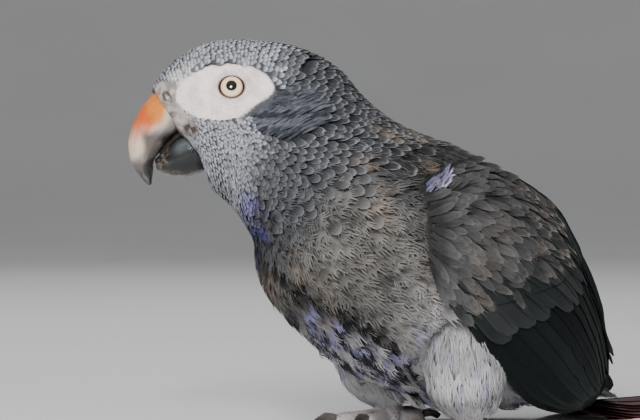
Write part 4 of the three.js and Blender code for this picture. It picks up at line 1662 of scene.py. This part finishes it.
def wing_markings(points, along, around):
    """Colour of the wing's coverts: grey at the wrist, worn brown in the middle, dark towards their
    ends."""
    worn = clouds(points, 12, 31) * 0.5 + clouds(points, 5, 32) * 0.5
    colour = np.tile(COVERT_GREY, (len(points), 1))
    dark = ease(along, 0.25, 0.5) * 0.8 + 0.2 * ease(worn, 0, 1)
    colour = mixed(colour, COVERT_DARK, dark[:, None])
    brown = ease(worn, -0.1, 0.7) * ease(along, 0.10, 0.25) * fade(along, 0.5, 0.66) * 0.85
    colour = mixed(colour, COVERT_BROWN, brown[:, None])
    late = ease(along / coverts_end(around) + 0.12 * clouds(points, 6, 34), 0.72, 1.05)
    return mixed(colour, COVERT_GREEN, 0.85 * late[:, None])


def coverts_end(around):
    """How far along the wing its coverts reach: less at the lower edge than at the upper."""
    return np.interp(around, (0, 0.5, 0.82, 1), (0.58, 0.42, 0.29, 0.30))


def wing_coverts(side):
    net = wing_nets[side]
    along, around, size = [], [], []
    s, row = -0.03, 0
    while s < 0.52:
        step = float(np.interp(s, (0, 0.3, 0.5), (2.3, 3.2, 4.4)))
        line = int(np.clip(s, 0, 1) * (len(net.over) - 1))
        number = max(6, round(float(np.mean(net.over[line])) / (step * 1.15)))
        t = (np.arange(number + 1) + 0.5 * (row % 2)) / number
        t = t[t < 1.02]
        along.append(np.full(len(t), s))
        around.append(t)
        size.append(np.full(len(t), step))
        s += step * 0.85 / float(np.mean(net.down[line]))
        row += 1
    along, around, size = (np.concatenate(v) for v in (along, around, size))
    chance = Draws(41, len(along), side)
    along = along + chance.about(0, 0.10) * size / 90
    around = around + chance.about(0, 0.10) * size / 60
    feathers = Feathers(
        net, along, around,
        length=size * chance.within(3.6, 4.8), width=size * chance.within(0.95, 1.3),
        turn=chance.about(0, 0.17), root=1.7, tip=chance.within(0, 0.35),
        cup=chance.within(0.02, 0.05), curl=chance.about(0, 0.015),
        seed=chance.within(0, 1), pale=chance.within(0.0, 0.22),
    )
    ends = feathers.reached(0.9)[0] - coverts_end(around)
    feathers["tip"] = mixed(feathers["tip"], -0.35, ease(ends, -0.14, -0.04))
    feathers["pale"] += ease(along, 0.15, 0.35) * fade(around, 0.25, 0.6) * chance.within(0, 1) ** 2
    where = feathers.reached(0.6)
    feathers.tint = wing_markings(net.place(*where), *where) * chance.within(0.75, 1.25)[:, None]
    return feathers.only(ends < chance.about(0, 0.02))


def secondaries(side, number=13, first=(0.36, 0.12)):
    """The long feathers of the arm, from the innermost, which lies on top, outwards."""
    net = wing_nets[side]
    chance = Draws(51, number, side)
    order = np.arange(number)
    around = -0.005 + 0.965 * (order + 0.3) / number
    along = np.interp(around, (0, 1), first)
    ends = 1.005 - 0.03 * chance.within(0, 1)
    feathers = Feathers(
        net, along, around,
        length=(ends - along) * net.read(net.down, np.full(number, 0.7), around), span=ends - along,
        width=13.0 * chance.within(0.92, 1.05), turn=chance.about(0.0, 0.02),
        root=0.9 + 0.06 * order, tip=0.05 + 0.03 * order, cup=0.012, tilt=-0.06,
        seed=chance.within(0, 0.49), pale=chance.within(0.15, 0.5),
    )
    feathers.tint = mixed(FLIGHT_GREEN, FLIGHT_DARK, chance.within(0, 1)[:, None])
    return feathers


def greater_coverts(side, number=13):
    """Shorter feathers of the same kind, over the roots of the secondaries."""
    feathers = secondaries(side, number, (0.22, 0.04))
    chance = Draws(61, number, side)
    net, around = feathers.net, feathers.around
    feathers["span"] = coverts_end(around) + 0.10 + chance.within(-0.02, 0.03) - feathers.along
    feathers["length"] = feathers["span"] * net.read(net.down, np.full(number, 0.4), around)
    for name, value in (("width", 9.5), ("tip", 0.1), ("root", 1.5)):
        feathers[name] = np.full(number, value)
    feathers.tint = mixed(COVERT_DARK, FLIGHT_GREEN, chance.within(0.1, 0.8)[:, None])
    return feathers


def primaries(side, number=5):
    """The tips of the hand's feathers, which show behind the secondaries."""
    net = primary_nets[side]
    order = np.arange(number)
    around = 0.12 + 0.76 * (order + 0.5) / number
    span = 0.99 - 0.06 * order
    feathers = Feathers(
        net, np.full(number, -0.02), around,
        length=net.read(net.down, np.full(number, 0.5), around) * span, span=span, width=8.5, turn=0.0,
        root=0.25 + 0.2 * order, tip=0.05 + 0.2 * order, cup=0.02,
        seed=Draws(71, number).within(0, 0.49), pale=0.1,
    )
    feathers.tint = np.tile(FLIGHT_DARK, (number, 1))
    return feathers


def shoulder_tufts(side):
    """A few pale violet tufts where the mantle meets the top of the wing."""
    chance = Draws(45, 60, side)
    feathers = Feathers(
        wing_nets[side], chance.within(-0.03, 0.07), chance.within(-0.02, 0.13),
        length=chance.within(2.5, 5), width=chance.within(0.8, 1.5), turn=chance.about(-0.5, 0.35),
        root=0.3, tip=chance.within(-0.8, -0.3), curl=chance.about(0, 0.03),
        seed=chance.within(0, 1), pale=chance.within(0, 0.6),
    )
    feathers.tint = mixed(srgb(112, 110, 152), srgb(186, 185, 198), chance.within(0, 1)[:, None])
    return feathers


def wing_stack(side, part):
    """The feathers packed under the shown ones: the solid itself, sunk under the vanes, least towards
    its tip."""
    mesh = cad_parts[f"{part}_{side}"].data.copy()
    mesh.name = f"{part}_stack_{side}"
    points, normals = points_of(mesh), normals_of(mesh)
    along, around = nearest_on(wing_nets[side], points)
    outwards = np.array((OUTWARDS[side], 0.0, 0.0))
    solid = solid_tree(f"{part}_{side}")
    thick = [
        solid.ray_cast(Vector(p - 0.02 * outwards), Vector(-outwards), 30)[3] or 0.0 for p in points
    ]
    most = np.where(
        part == "secondaries", mixed(1.7, 0.5, ease(along, 0.5, 0.75) * fade(around, 0.12, 0.3)), 1.0
    )
    sunk = np.minimum(most, 0.6 * np.array(thick)) * (normals @ outwards > 0.05)
    set_points(mesh, points - sunk[:, None] * outwards)
    mesh.polygons.foreach_set("use_smooth", np.ones(len(mesh.polygons), bool))
    mesh.materials.clear()
    mesh.materials.append(stack_look)
    return hand_in(linked(mesh.name, mesh))


stack_look = new_material("feather_stack", 0.7, 0.1)
layers = noise(
    add("Mapping", {"Vector": object_place(), "Scale": (1.0, 0.15, 0.5)}).outputs[0], 900.0, 3.0
)
wire("Base Color", blended(layers, FLIGHT_DARK, FLIGHT_GREEN))
flight_look = feather_material(
    "flight_feather", 0.6, 46.0, 0.16, srgb(58, 63, 62), 0.4, (0.4, 0.1, 0.6), 0.35, 0.08
)
covert_look = feather_material(
    "wing_covert", 0.75, 15.0, 0.4, srgb(158, 151, 144), 0.35, (0.6, 0.35, 0.8), 0.5, 0.12
)
for side in SIDES:
    islands = wing_islands(side)
    covered = coat_piece(
        f"wing_covert_feathers_{side}", lay(wing_coverts(side), "covert", islands), covert_look,
    )
    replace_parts(covered, f"wing_coverts_{side}")
    coat_piece(
        f"shoulder_tufts_{side}", lay(shoulder_tufts(side), "hair", islands), down_look
    )
    long_ones = lay(secondaries(side), "flight", islands) + lay(
        greater_coverts(side), "flight", islands
    )
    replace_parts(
        coat_piece(f"secondary_feathers_{side}", long_ones, flight_look),
        f"secondaries_{side}"
    )
    tips = coat_piece(
        f"primary_feathers_{side}", lay(primaries(side), "flight", islands), flight_look,
    )
    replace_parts(tips, f"primaries_{side}")
    for part in ("secondaries", "primaries"):
        wing_stack(side, part)

# %% [markdown]
# ## Thighs
#
# A parrot's thighs are trousers of soft white down that hide the leg as far as the scaled foot. Down
# has no hooks to hold its barbs together, so each tuft is a spray of loose locks. A net round each
# leg's own middle line makes them hang towards the foot. Longer down, loose on the belly's net, fills
# the fork between the legs.

# %% Down on the thighs


def leg_net(side):
    low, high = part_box(f"thigh_{side}")
    low, high = np.array(low) / MM, np.array(high) / MM
    foot = middle(f"foot_{side}")
    knots = [((low + high) / 2) + (0, -4, 16), ((low + high) / 2), foot + (0, 0, 1.0)]
    line = smooth_line(knots, np.linspace(0, 1, 70))
    tree = solid_tree(f"thigh_{side}", f"foot_{side}")
    return ring_net(tree, line, *frames_along(line, np.array((0.0, -1.0, 0.2))), 80, 3)


leg_nets = {side: leg_net(side) for side in SIDES}
BELLY_WHITE = srgb(216, 215, 216)


def leg_down(side):
    net = leg_nets[side]
    threads = lambda s: round(
        float(np.mean(net.over[int(np.clip(s, 0, 1) * (len(net.over) - 1))])) / 2.4
    )
    along, around = rows_on(net, lambda s: 2.2, threads, -0.06, 0.99)
    chance = Draws(81, len(along), side)
    around = around + chance.about(0, 0.01)
    feathers = Feathers(
        net, along, around,
        length=np.minimum(
            chance.within(7, 10), np.maximum((1.07 - along) * float(net.down.mean()), 3.0)
        ),
        width=chance.within(2.4, 3.6), turn=chance.about(0, 0.16),
        root=np.interp(along, (0, 0.4, 0.6, 1), (1.2, 1.0, 0.1, 0.0)),
        tip=chance.within(-0.5, 0.4) - 0.5 * ease(along, 0.3, 0.6),
        cup=0.02, curl=chance.about(0.0, 0.03), seed=chance.within(0, 1), pale=chance.within(0, 0.5),
    )
    roots, normals = net.both(along, around)
    feathers = feathers.only(
        ~(covered_by(roots, normals, body_tree, 16) & (distances(roots, body_tree) > 1.8))
    )
    where = feathers.reached(0.6)
    places = net.place(*where)
    feathers.tint = mixed(
        srgb(172, 171, 175), BELLY_WHITE, ease(clouds(places, 7, 9), -0.8, 0.8)[:, None]
    )
    greyer = fade(where[0], 0.12, 0.55) * (0.65 + 0.35 * ease(clouds(places, 5, 10), -0.5, 0.5))
    feathers.tint = mixed(feathers.tint, FLANK_PALE * 0.72, greyer[:, None])
    chance.count = len(feathers)
    feathers.tint[chance.within(0, 1) < 0.06] = srgb(176, 174, 202)
    return feathers


def belly_down():
    """Longer loose down that hangs between the thighs and behind them."""
    chance = Draws(83, 300)
    feathers = Feathers(
        body_net, chance.within(0.60, 0.80), chance.within(0.37, 0.63),
        length=chance.within(8, 12), width=chance.within(2.8, 4.2), turn=chance.about(0, 0.25),
        root=0.4, tip=chance.within(-3.5, -0.8), curl=chance.about(0, 0.03), flat=0.5,
        seed=chance.within(0, 1), pale=chance.within(0, 0.4),
    )
    feathers.tint = mixed(srgb(176, 175, 185), BELLY_WHITE, chance.within(0, 1)[:, None])
    feathers.tint[chance.within(0, 1) < 0.10] = srgb(160, 158, 196)
    flat, normals = body_net.both(feathers.along, feathers.around)
    return feathers.only(
        (cover_height(flat, normals, trees["thigh"]) < 0.5) & (agreement(flat, normals) > 0.4)
    )


coat_piece("belly_down", lay(belly_down(), "down", body_islands), down_look)
for number, side in enumerate(SIDES):
    islands = lambda along, around, left=0.655 + 0.17 * number: np.stack(
        (left + 0.14 * (around % 1), 0.53 + 0.20 * along), -1
    )
    coat_piece(f"thigh_down_{side}", lay(leg_down(side), "down", islands), down_look)

# %% [markdown]
# ## Bill
#
# The bill is horn, hard and polished, and grows out of the cere in layers that wear away at the cutting
# edge. The upper half is hinged at the forehead and hooks over the lower. A net round each half gives
# clean rings from root to tip, so the growth lines can run the way horn grows. The upper half is cut by
# planes that turn about a hinge line through the gape, because its rings fan out like that; the lower
# half is nearly straight.

# %% Nets over the bill
HINGE = (8.5, -16.5)  # mm forwards of the eye and above it


def upper_bill_net():
    tree = solid_tree("upper_bill")
    centres, rises = [], []
    for turn in np.radians(np.linspace(84, -44, 160)):
        out = math.cos(turn) * HEAD_FRONT + math.sin(turn) * UP
        start = head_point(*HINGE)
        far = tree.ray_cast(Vector(start + 60 * out), Vector(-out), 60)
        near = tree.ray_cast(Vector(start + 0.5 * out), Vector(out), 60)
        if far[0] is None or near[0] is None:
            continue
        low, high = 0.5 + near[3], 60 - far[3]
        if high - low > 0.5:
            centres.append(start + out * (low + high) / 2)
            rises.append(out)
    centres, rises = np.array(centres), np.array(rises)
    return ring_net(tree, centres, rises, np.tile(HEAD_LEFT, (len(rises), 1)), 72, 4)


def lower_bill_net():
    low, high = box_of("lower_bill")
    knots = [head_point(3.0, -21.3), head_point(12, -22.6), head_point(24.0, -25.2)]
    line = smooth_line(knots, np.linspace(0, 1, 110))
    return ring_net(solid_tree("lower_bill"), line, *frames_along(line, UP), 64, 3)


def tube_faces(rows, columns):
    """Faces of a tube of rings, closed by one point before the first ring and one after the last."""
    k = np.arange(columns)
    after, last = (k + 1) % columns, (rows - 1) * columns
    first = np.arange(rows - 1)[:, None] * columns
    quads = np.stack(
        np.broadcast_arrays(first + k, first + after, first + columns + after, first + columns + k), -1
    )
    start = np.full(columns, rows * columns)
    caps = np.concatenate(
        (np.stack((start, after, k), -1), np.stack((start + 1, last + k, last + after), -1))
    )
    return [caps, quads.reshape(-1, 4)]


def closed_tube(net, relief=None):
    """Points of a net's rings, moved out by relief(along, around), and of its ends; its faces; their
    places."""
    rows, columns = net.points.shape[:2]
    along, around = np.meshgrid(np.linspace(0, 1, rows), np.arange(columns) / columns, indexing="ij")
    points = net.points + net.normals * (relief(along, around)[..., None] if relief else 0)
    ends = [points[0].mean(0), 1.8 * points[-1].mean(0) - 0.8 * points[-2].mean(0)]
    flat = np.concatenate((points.reshape(-1, 3), ends))
    places = np.append(along, (0, 1)), np.append(around, (0, 0))
    return flat, tube_faces(rows, columns), *places


horn_growth, inside, out = new_group(
    "horn_growth",
    {"Along": 0.5, "Around": 0.0, "Layers": 18.0, "Streaks": 1.0},
    ("Flakes", "Streak", "Height"),
)
turned = times(inside["Around"], FULL_TURN)
sine, cosine = sums("SINE", turned), sums("COSINE", turned)
streak = noise(joined_as_vector(X=sine, Y=cosine, Z=times(inside["Along"], 0.45)), 9.0, 5.0, 0.65)
layer_place = joined_as_vector(X=times(sine, 0.25), Y=times(cosine, 0.25), Z=inside["Along"])
flakes = noise(layer_place, inside["Layers"], 6.0, 0.7)
put(out["Streak"], streak)
put(out["Flakes"], ranged(flakes, 0.50, 0.66))
put(out["Height"], sums("ADD", times(streak, 0.6), times(flakes, 0.8)))

# %% Upper bill
HORN_ORANGE = srgb(212, 127, 54)
HORN_CREAM = srgb(214, 194, 172)
# partly the horn's own grey, partly painted highlight
HORN_SILVER_SHEEN = srgb(158, 154, 150)
HORN_GREY = srgb(98, 90, 88)
HORN_DARK = srgb(46, 48, 48)
upper_net = upper_bill_net()
points, faces, along, around = closed_tube(
    upper_net, lambda s, t: 0.10 * np.sin(s * 40 + 3 * np.sin(t * 12)) * ease(s, 0.1, 0.3) * 0.4
)
forwards, above = (points - between_eyes) @ HEAD_FRONT, (points - between_eyes) @ UP
low_side = (forwards - 17) * -0.806 + (above + 6.4) * -0.592 + clouds(points, 5, 12) * 0.9
inner = ease(29.2 + 0.42 * (above + 6) - forwards, 0.5, 3.5)
paint = mixed(srgb(205, 98, 50), HORN_ORANGE, inner[:, None])
paint = mixed(paint, HORN_CREAM, np.maximum(ease(-above, 10, 19), ease(low_side, -4, -0.5))[:, None])
behind_ridge = ease(28.9 - forwards + clouds(points, 6, 13) * 0.6, 0.0, 2.4) * ease(-above, 12.5, 16)
# silver band above the cutting edge: partly the horn's grey, partly painted highlight where the gloss
# catches the light
paint = mixed(paint, HORN_SILVER_SHEEN, ease(low_side, -2.0, 0.8)[:, None])
paint = mixed(paint, HORN_GREY, np.maximum(ease(-above, 21, 25), behind_ridge)[:, None])
paint = mixed(paint, HORN_DARK, np.maximum(ease(low_side, 1.8, 3.4), ease(-above, 24.5, 29))[:, None])


def horn_material(name, roughness, layers, flake_colour, flake_share, depth):
    material = new_material(name, roughness, 0.5)
    growth = use_group(
        horn_growth, Along=stored("vane_along"), Around=stored("vane_across"), Layers=layers
    )
    colour = darkened(
        ranged(growth["Streak"], 0.35, 0.7, 0.0, 0.45), stored("tint", "Color"), (0.42, 0.38, 0.36)
    )
    flaked = times(growth["Flakes"], stored("pale"))
    colour = blended(times(flaked, flake_share), colour, flake_colour)
    wire("Base Color", colour)
    wire("Roughness", ranged(flaked, 0.0, 1.0, roughness, 0.7))
    wire("Normal", bump(growth["Height"], depth * MM, 0.55))
    return material


def horn_piece(name, points, faces, along, around, paint, flaky, material):
    piece = mesh_object(name, points, faces, material)
    for value, values in (("vane_along", along), ("vane_across", around), ("pale", flaky)):
        store(piece.data, value, values, "FLOAT")
    store(piece.data, "tint", paint, "FLOAT_COLOR")
    return hand_in(piece)


upper_look = horn_material("upper_bill_horn", 0.30, 9.0, srgb(150, 140, 128), 0.55, 0.35)
flaky = ease(low_side, -1, 3) * ease(along, 0.45, 0.8)
upper_bill = horn_piece(
    "upper_bill_horn", points, faces, along, around, paint, flaky, upper_look
)
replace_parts(upper_bill, "upper_bill")

# %% Lower bill
lower_net = lower_bill_net()
points, faces, along, around = closed_tube(lower_net)
forwards, above = (points - between_eyes) @ HEAD_FRONT, (points - between_eyes) @ UP
rim = np.maximum(ease(forwards, 18.5, 23), 0.8 * ease(-above, 25.6, 27.5))
paint = mixed(
    np.tile(srgb(30, 32, 33), (len(points), 1)), srgb(84, 76, 66),
    (rim * ease(clouds(points, 2.2, 14), -0.3, 0.6) * 0.8)[:, None]
)
# painted highlight: a pale blue-grey band along the top of the lower bill, where the light glints on the
# horn
painted_glint = ridge(above + 16.4 + 0.44 * (forwards - 11), 0.0, 2.0)
painted_glint = painted_glint * ease(forwards, 8, 11) * fade(forwards, 16, 20)
paint = mixed(paint, srgb(112, 120, 124), (0.5 * painted_glint)[:, None])
lower_look = horn_material("lower_bill_horn", 0.22, 16.0, srgb(150, 138, 120), 0.6, 0.22)
lower_bill = horn_piece(
    "lower_bill_horn", points, faces, along, around, paint, rim * 0.9, lower_look
)
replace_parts(lower_bill, "lower_bill")

# %% [markdown]
# ## Mouth
#
# Between the halves of the bill a little of the dark mouth shows. A flattened tube of soft skin, bent
# along the gape from the hinge to the front, closes that gap, and both halves of the bill bite over its
# edges.

# %% Inside of the mouth
MOUTH_LINE = [(9, -10.4), (14.5, -13.4), (18.6, -16.6), (22.6, -20.4)]
mouth_line = np.array([head_point(*spot) for spot in smooth_line(MOUTH_LINE, np.linspace(0, 1, 16))])
rise, left = frames_along(mouth_line, UP)
turn = turns(28)
tall, wide = np.linspace(2.2, 0.9, 16), np.linspace(7.0, 2.8, 16)
mouth_rings = mouth_line[:, None] + (tall[:, None] * np.cos(turn))[..., None] * rise[:, None]
mouth_rings = mouth_rings + (wide[:, None] * np.sin(turn))[..., None] * left[:, None]
points, faces, along, around = closed_tube(Net(mouth_rings, True))
mouth_skin = new_material("mouth_skin", 0.45, 0.4)
shade = ranged(noise(object_place(), 600.0, 4.0), 0.3, 0.7)
wire("Base Color", blended(shade, srgb(20, 17, 17), srgb(46, 36, 34)))
hand_in(mesh_object("mouth_lining", points, faces, mouth_skin))

# %% [markdown]
# ## Eyes
#
# A parrot's eye shows almost no white: a wide pale iris fills the opening between the lids, round a
# pupil that the bird can shrink at will. The ball is turned on its own axis, like a lathe job, so the
# pupil, iris and dark rim are true circles, and its front bulges a little as the clear cornea does. A
# coat of clear gloss does the wetness.

# %% Eyeballs
PUPIL = 1.70
IRIS_CREAM = srgb(250, 230, 190)
IRIS_GOLD = srgb(228, 196, 138)
EYE_DARK = srgb(16, 13, 14)


def lathe(centre, axis, profile, steps):
    """Points turned from a profile of (distance out along the axis, radius), whose first and last are
    its poles."""
    side = unit(np.cross(axis, UP))
    circle = np.cos(turns(steps))[:, None] * side + np.sin(turns(steps))[:, None] * np.cross(side, axis)
    rings = [centre + out * axis + radius * circle for out, radius in profile[1:-1]]
    return np.concatenate(rings + [[centre + profile[0][0] * axis], [centre + profile[-1][0] * axis]])


def eyeball(side):
    axis = EYE_AXES[side]
    radius = EYE_RADIUS - 0.05
    angles = np.radians(np.concatenate((np.linspace(180, 60, 14), np.linspace(57, 0, 40))))
    bulge = 0.45 * fade(np.degrees(angles), 20, 42)
    profile = [((radius + b) * math.cos(a), (radius + b) * math.sin(a)) for a, b in zip(angles, bulge)]
    points = lathe(EYE_MIDDLES[side], axis, profile, 64)
    faces = [group[:, ::-1] for group in tube_faces(len(profile) - 2, 64)]
    ball = mesh_object(f"eyeball_{side}", points, faces, eye_look)
    away = points - EYE_MIDDLES[side]
    across = np.linalg.norm(away - (away @ axis)[:, None] * axis, axis=1)
    ring = np.where(away @ axis > 0, across, 9.0)
    store(ball.data, "from_axis", ring, "FLOAT")
    store(ball.data, "turn", np.arctan2(away @ UP, away @ np.cross(axis, UP)), "FLOAT")
    hand_in(ball)
    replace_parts(ball, f"eye_{side}")


eye_look = new_material("eye_gloss", 0.12, 0.7)
ring = stored("from_axis")
spokes = joined_as_vector(X=times(stored("turn"), 9.0), Y=times(ring, 0.5))
fibres = noise(spokes, 2.4, 4.0, 0.6)
iris = blended(ranged(fibres, 0.35, 0.7, 0.0, 0.55), IRIS_CREAM, IRIS_GOLD)
iris = blended(ranged(ring, PUPIL, PUPIL + 0.7, 0.7, 0.0), iris, IRIS_GOLD)
iris = blended(ranged(ring, 3.05, 3.35), iris, srgb(132, 88, 60))
iris = blended(ranged(ring, 3.30, 3.60), iris, srgb(58, 36, 30))
iris = blended(ranged(ring, PUPIL - 0.12, PUPIL + 0.10, 1.0, 0.0), iris, EYE_DARK)
wire("Base Color", iris)
wire("Coat Weight", 1.0)
wire("Coat Roughness", 0.03)
for side in SIDES:
    eyeball(side)

# %% [markdown]
# ## Tail
#
# Twelve feathers make the tail, stacked from the middle pair on top to the outermost pair at the
# bottom, and short and square-ended in this bird. Each is a flight feather on a net of its own: two
# edges and the top of its solid.

# %% Tail feathers
TAIL_MAROON = srgb(74, 30, 30)
TAIL_BROWN = srgb(58, 34, 32)
TAIL_RED = srgb(104, 28, 28)


def cloud_of(node):
    """The corners of a solid, in mm."""
    return np.array([v.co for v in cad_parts[node].data.vertices]) / MM


def tail_net(node):
    points = cloud_of(node)
    root = points[points[:, 1] < points[:, 1].min() + 4].mean(0)
    end = points[points[:, 1] > points[:, 1].max() - 4].mean(0)
    way = unit((end - root) * (1, 1, 0))
    across = np.cross(way, UP)
    run, slide = (points - root) @ way, (points - root) @ across
    rows = np.linspace(run.min() + 0.4, run.max() - 0.2, 60)
    order = np.argsort(run)
    bands = np.split(order, np.flatnonzero(np.diff(run[order]) > 2) + 1)
    middles = [run[band].mean() for band in bands]
    edges = [
        np.interp(rows, middles, [part(slide[band]) for band in bands]) for part in (np.min, np.max)
    ]
    edges = np.stack(edges, -1) + (0.2, -0.2)
    share = np.linspace(0, 1, 16)
    slides = mixed(edges[:, :1], edges[:, 1:], share[None])
    grid = root + rows[:, None, None] * way + slides[..., None] * across
    grid[..., 2] = -1.0
    return net_facing(solid_tree(node), grid, (0, 0, -1), 2, 1.0)


tail_batches = []
for order in range(6):
    for number, side in enumerate(SIDES):
        node_name = f"tail_feather_{order + 1}_{side}"
        net = tail_net(node_name)
        chance = Draws(90 + order * 2 + number, 1)
        feather = Feathers(
            net, np.zeros(1), np.full(1, 0.5), length=net.down.mean(), span=0.985,
            width=0.97 * net.over[20:50].mean(),
            turn=chance.about(0, 0.008), root=0.3, tip=0.12, cup=0.08, seed=chance.within(0, 0.49),
            pale=0.15,
        )
        tone = mixed(TAIL_MAROON, TAIL_BROWN, chance.within(0, 1))
        feather.tint = mixed(tone, TAIL_RED, ease(order, 2, 5) * 0.9)[None]
        spot = (0.70 + 0.02 * order + 0.14 * number, 0.80)
        tail_batches += lay(
            feather, "flight", lambda along, around, spot=spot: np.tile(spot, (len(along), 1))
        )
tail_look = feather_material(
    "tail_feather", 0.5, 60.0, 0.16, srgb(120, 66, 62), 0.6, (0.4, 0.0, 0.4), 0.3, 0.4
)
tail = coat_piece("tail_vanes", tail_batches, tail_look)
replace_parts(tail, *both_sides(*(f"tail_feather_{order + 1}" for order in range(6))))

# %% [markdown]
# ## Feet
#
# The feet are covered in small horny scales, like a lizard's: a row of broad ones along the top of each
# toe and finer grains beside them. They are laid like feathers, on a net round each toe. The claws are
# horn, grown in a curve, and have the same layers as the bill.

# %% Scales on the toes and feet
PATTERNS["scute"] = [pattern([small_vane(4, 4, 0.75, 0.3, 0.5)])]
FOOT_GREY = srgb(206, 192, 186)
FOOT_DARK = srgb(162, 147, 141)


def limb_line(node, rows):
    """The middle line of a toe or claw, from the end nearer its foot to the other."""
    points = cloud_of(node)
    foot = middle(f"foot_{node.rsplit('_', 1)[1]}")
    reach = np.hypot(*(points - foot)[:, :2].T)
    knots = []
    for low in np.linspace(reach.min(), reach.max(), 7)[:-1]:
        band = points[(reach >= low - 1.5) & (reach <= low + (reach.max() - reach.min()) / 6 + 1.5)]
        knots.append((band.min(0) + band.max(0)) / 2)
    return smooth_line(blurred(np.array(knots)[:, None], 1, False)[:, 0], np.linspace(0, 1, rows))


def scutes(node, number):
    line = limb_line(node, 60) if node.startswith("toe") else smooth_line(
        [middle(node) + (0, 0, 7), middle(node), middle(node) - (0, 0, 7)], np.linspace(0, 1, 40))
    top = UP if node.startswith("toe") else -np.array((0.0, 1.0, 0.0))
    net = ring_net(solid_tree(node), line, *frames_along(line, top), 48, 2)
    around_count = max(8, round(float(net.over.mean()) / 1.5))
    along, around = rows_on(net, lambda s: 1.25, lambda s: around_count, 0.0, 0.95)
    chance = Draws(100 + number, len(along))
    broad = np.where(np.minimum(around % 1, 1 - around % 1) < 0.09, 1.5, 1.05)
    scales = Feathers(
        net, along, around + chance.about(0, 0.006), length=chance.within(1.9, 2.2),
        width=1.35 * broad * chance.within(0.9, 1.1), turn=chance.about(0, 0.05), root=0.25, tip=-0.02,
        cup=0.05, curl=0.05, flat=0.6, seed=chance.within(0, 1), pale=chance.within(0.2, 0.6),
    )
    scales.tint = mixed(
        FOOT_DARK, FOOT_GREY, ease(clouds(net.place(along, around), 3, 61), -0.8, 0.9)[:, None]
    )
    return scales


scute_look = feather_material(
    "foot_scales", 0.5, 3.0, 0.0, srgb(190, 178, 172), 0.0, (0.3, 0.2, 0.6), 0.1, 0.4
)
for number, side in enumerate(SIDES):
    batches = []
    for order, toe in enumerate(("foot",) + tuple("toe_" + toe for toe in TOES)):
        islands = lambda along, around, left=0.68 + 0.16 * number + 0.03 * order: np.stack(
            (left + 0.025 * (around % 1), 0.84 + 0.1 * along), -1)
        batches += lay(scutes(f"{toe}_{side}", 10 * number + order), "scute", islands)
    coat_piece(f"foot_scales_{side}", batches, scute_look)

# %% [markdown]
# ## Claws
#
# A claw is a cone of horn that curves down. The frame has its true curve, so a net of rings along its
# middle line is enough, closed at both ends like the bill, and it darkens towards its point.

# %% Claws
claw_look = horn_material("claw_horn", 0.3, 6.0, srgb(110, 104, 98), 0.3, 0.15)
for side in SIDES:
    for toe in TOES:
        name = f"claw_{toe}_{side}"
        line = limb_line(name, 50)
        net = ring_net(solid_tree(name), line, *frames_along(line, UP), 32, 2)
        points, faces, along, around = closed_tube(net)
        paint = mixed(
            np.tile(srgb(104, 96, 90), (len(points), 1)), srgb(46, 43, 42),
            ease(along, 0.1, 0.9)[:, None]
        )
        claw = horn_piece(
            f"{name}_horn", points, faces, along, around, paint, 0.4 * ease(along, 0.5, 1), claw_look,
        )
        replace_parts(claw, name)

# %% Close
print("coat triangles in all:", sum(coat_count))
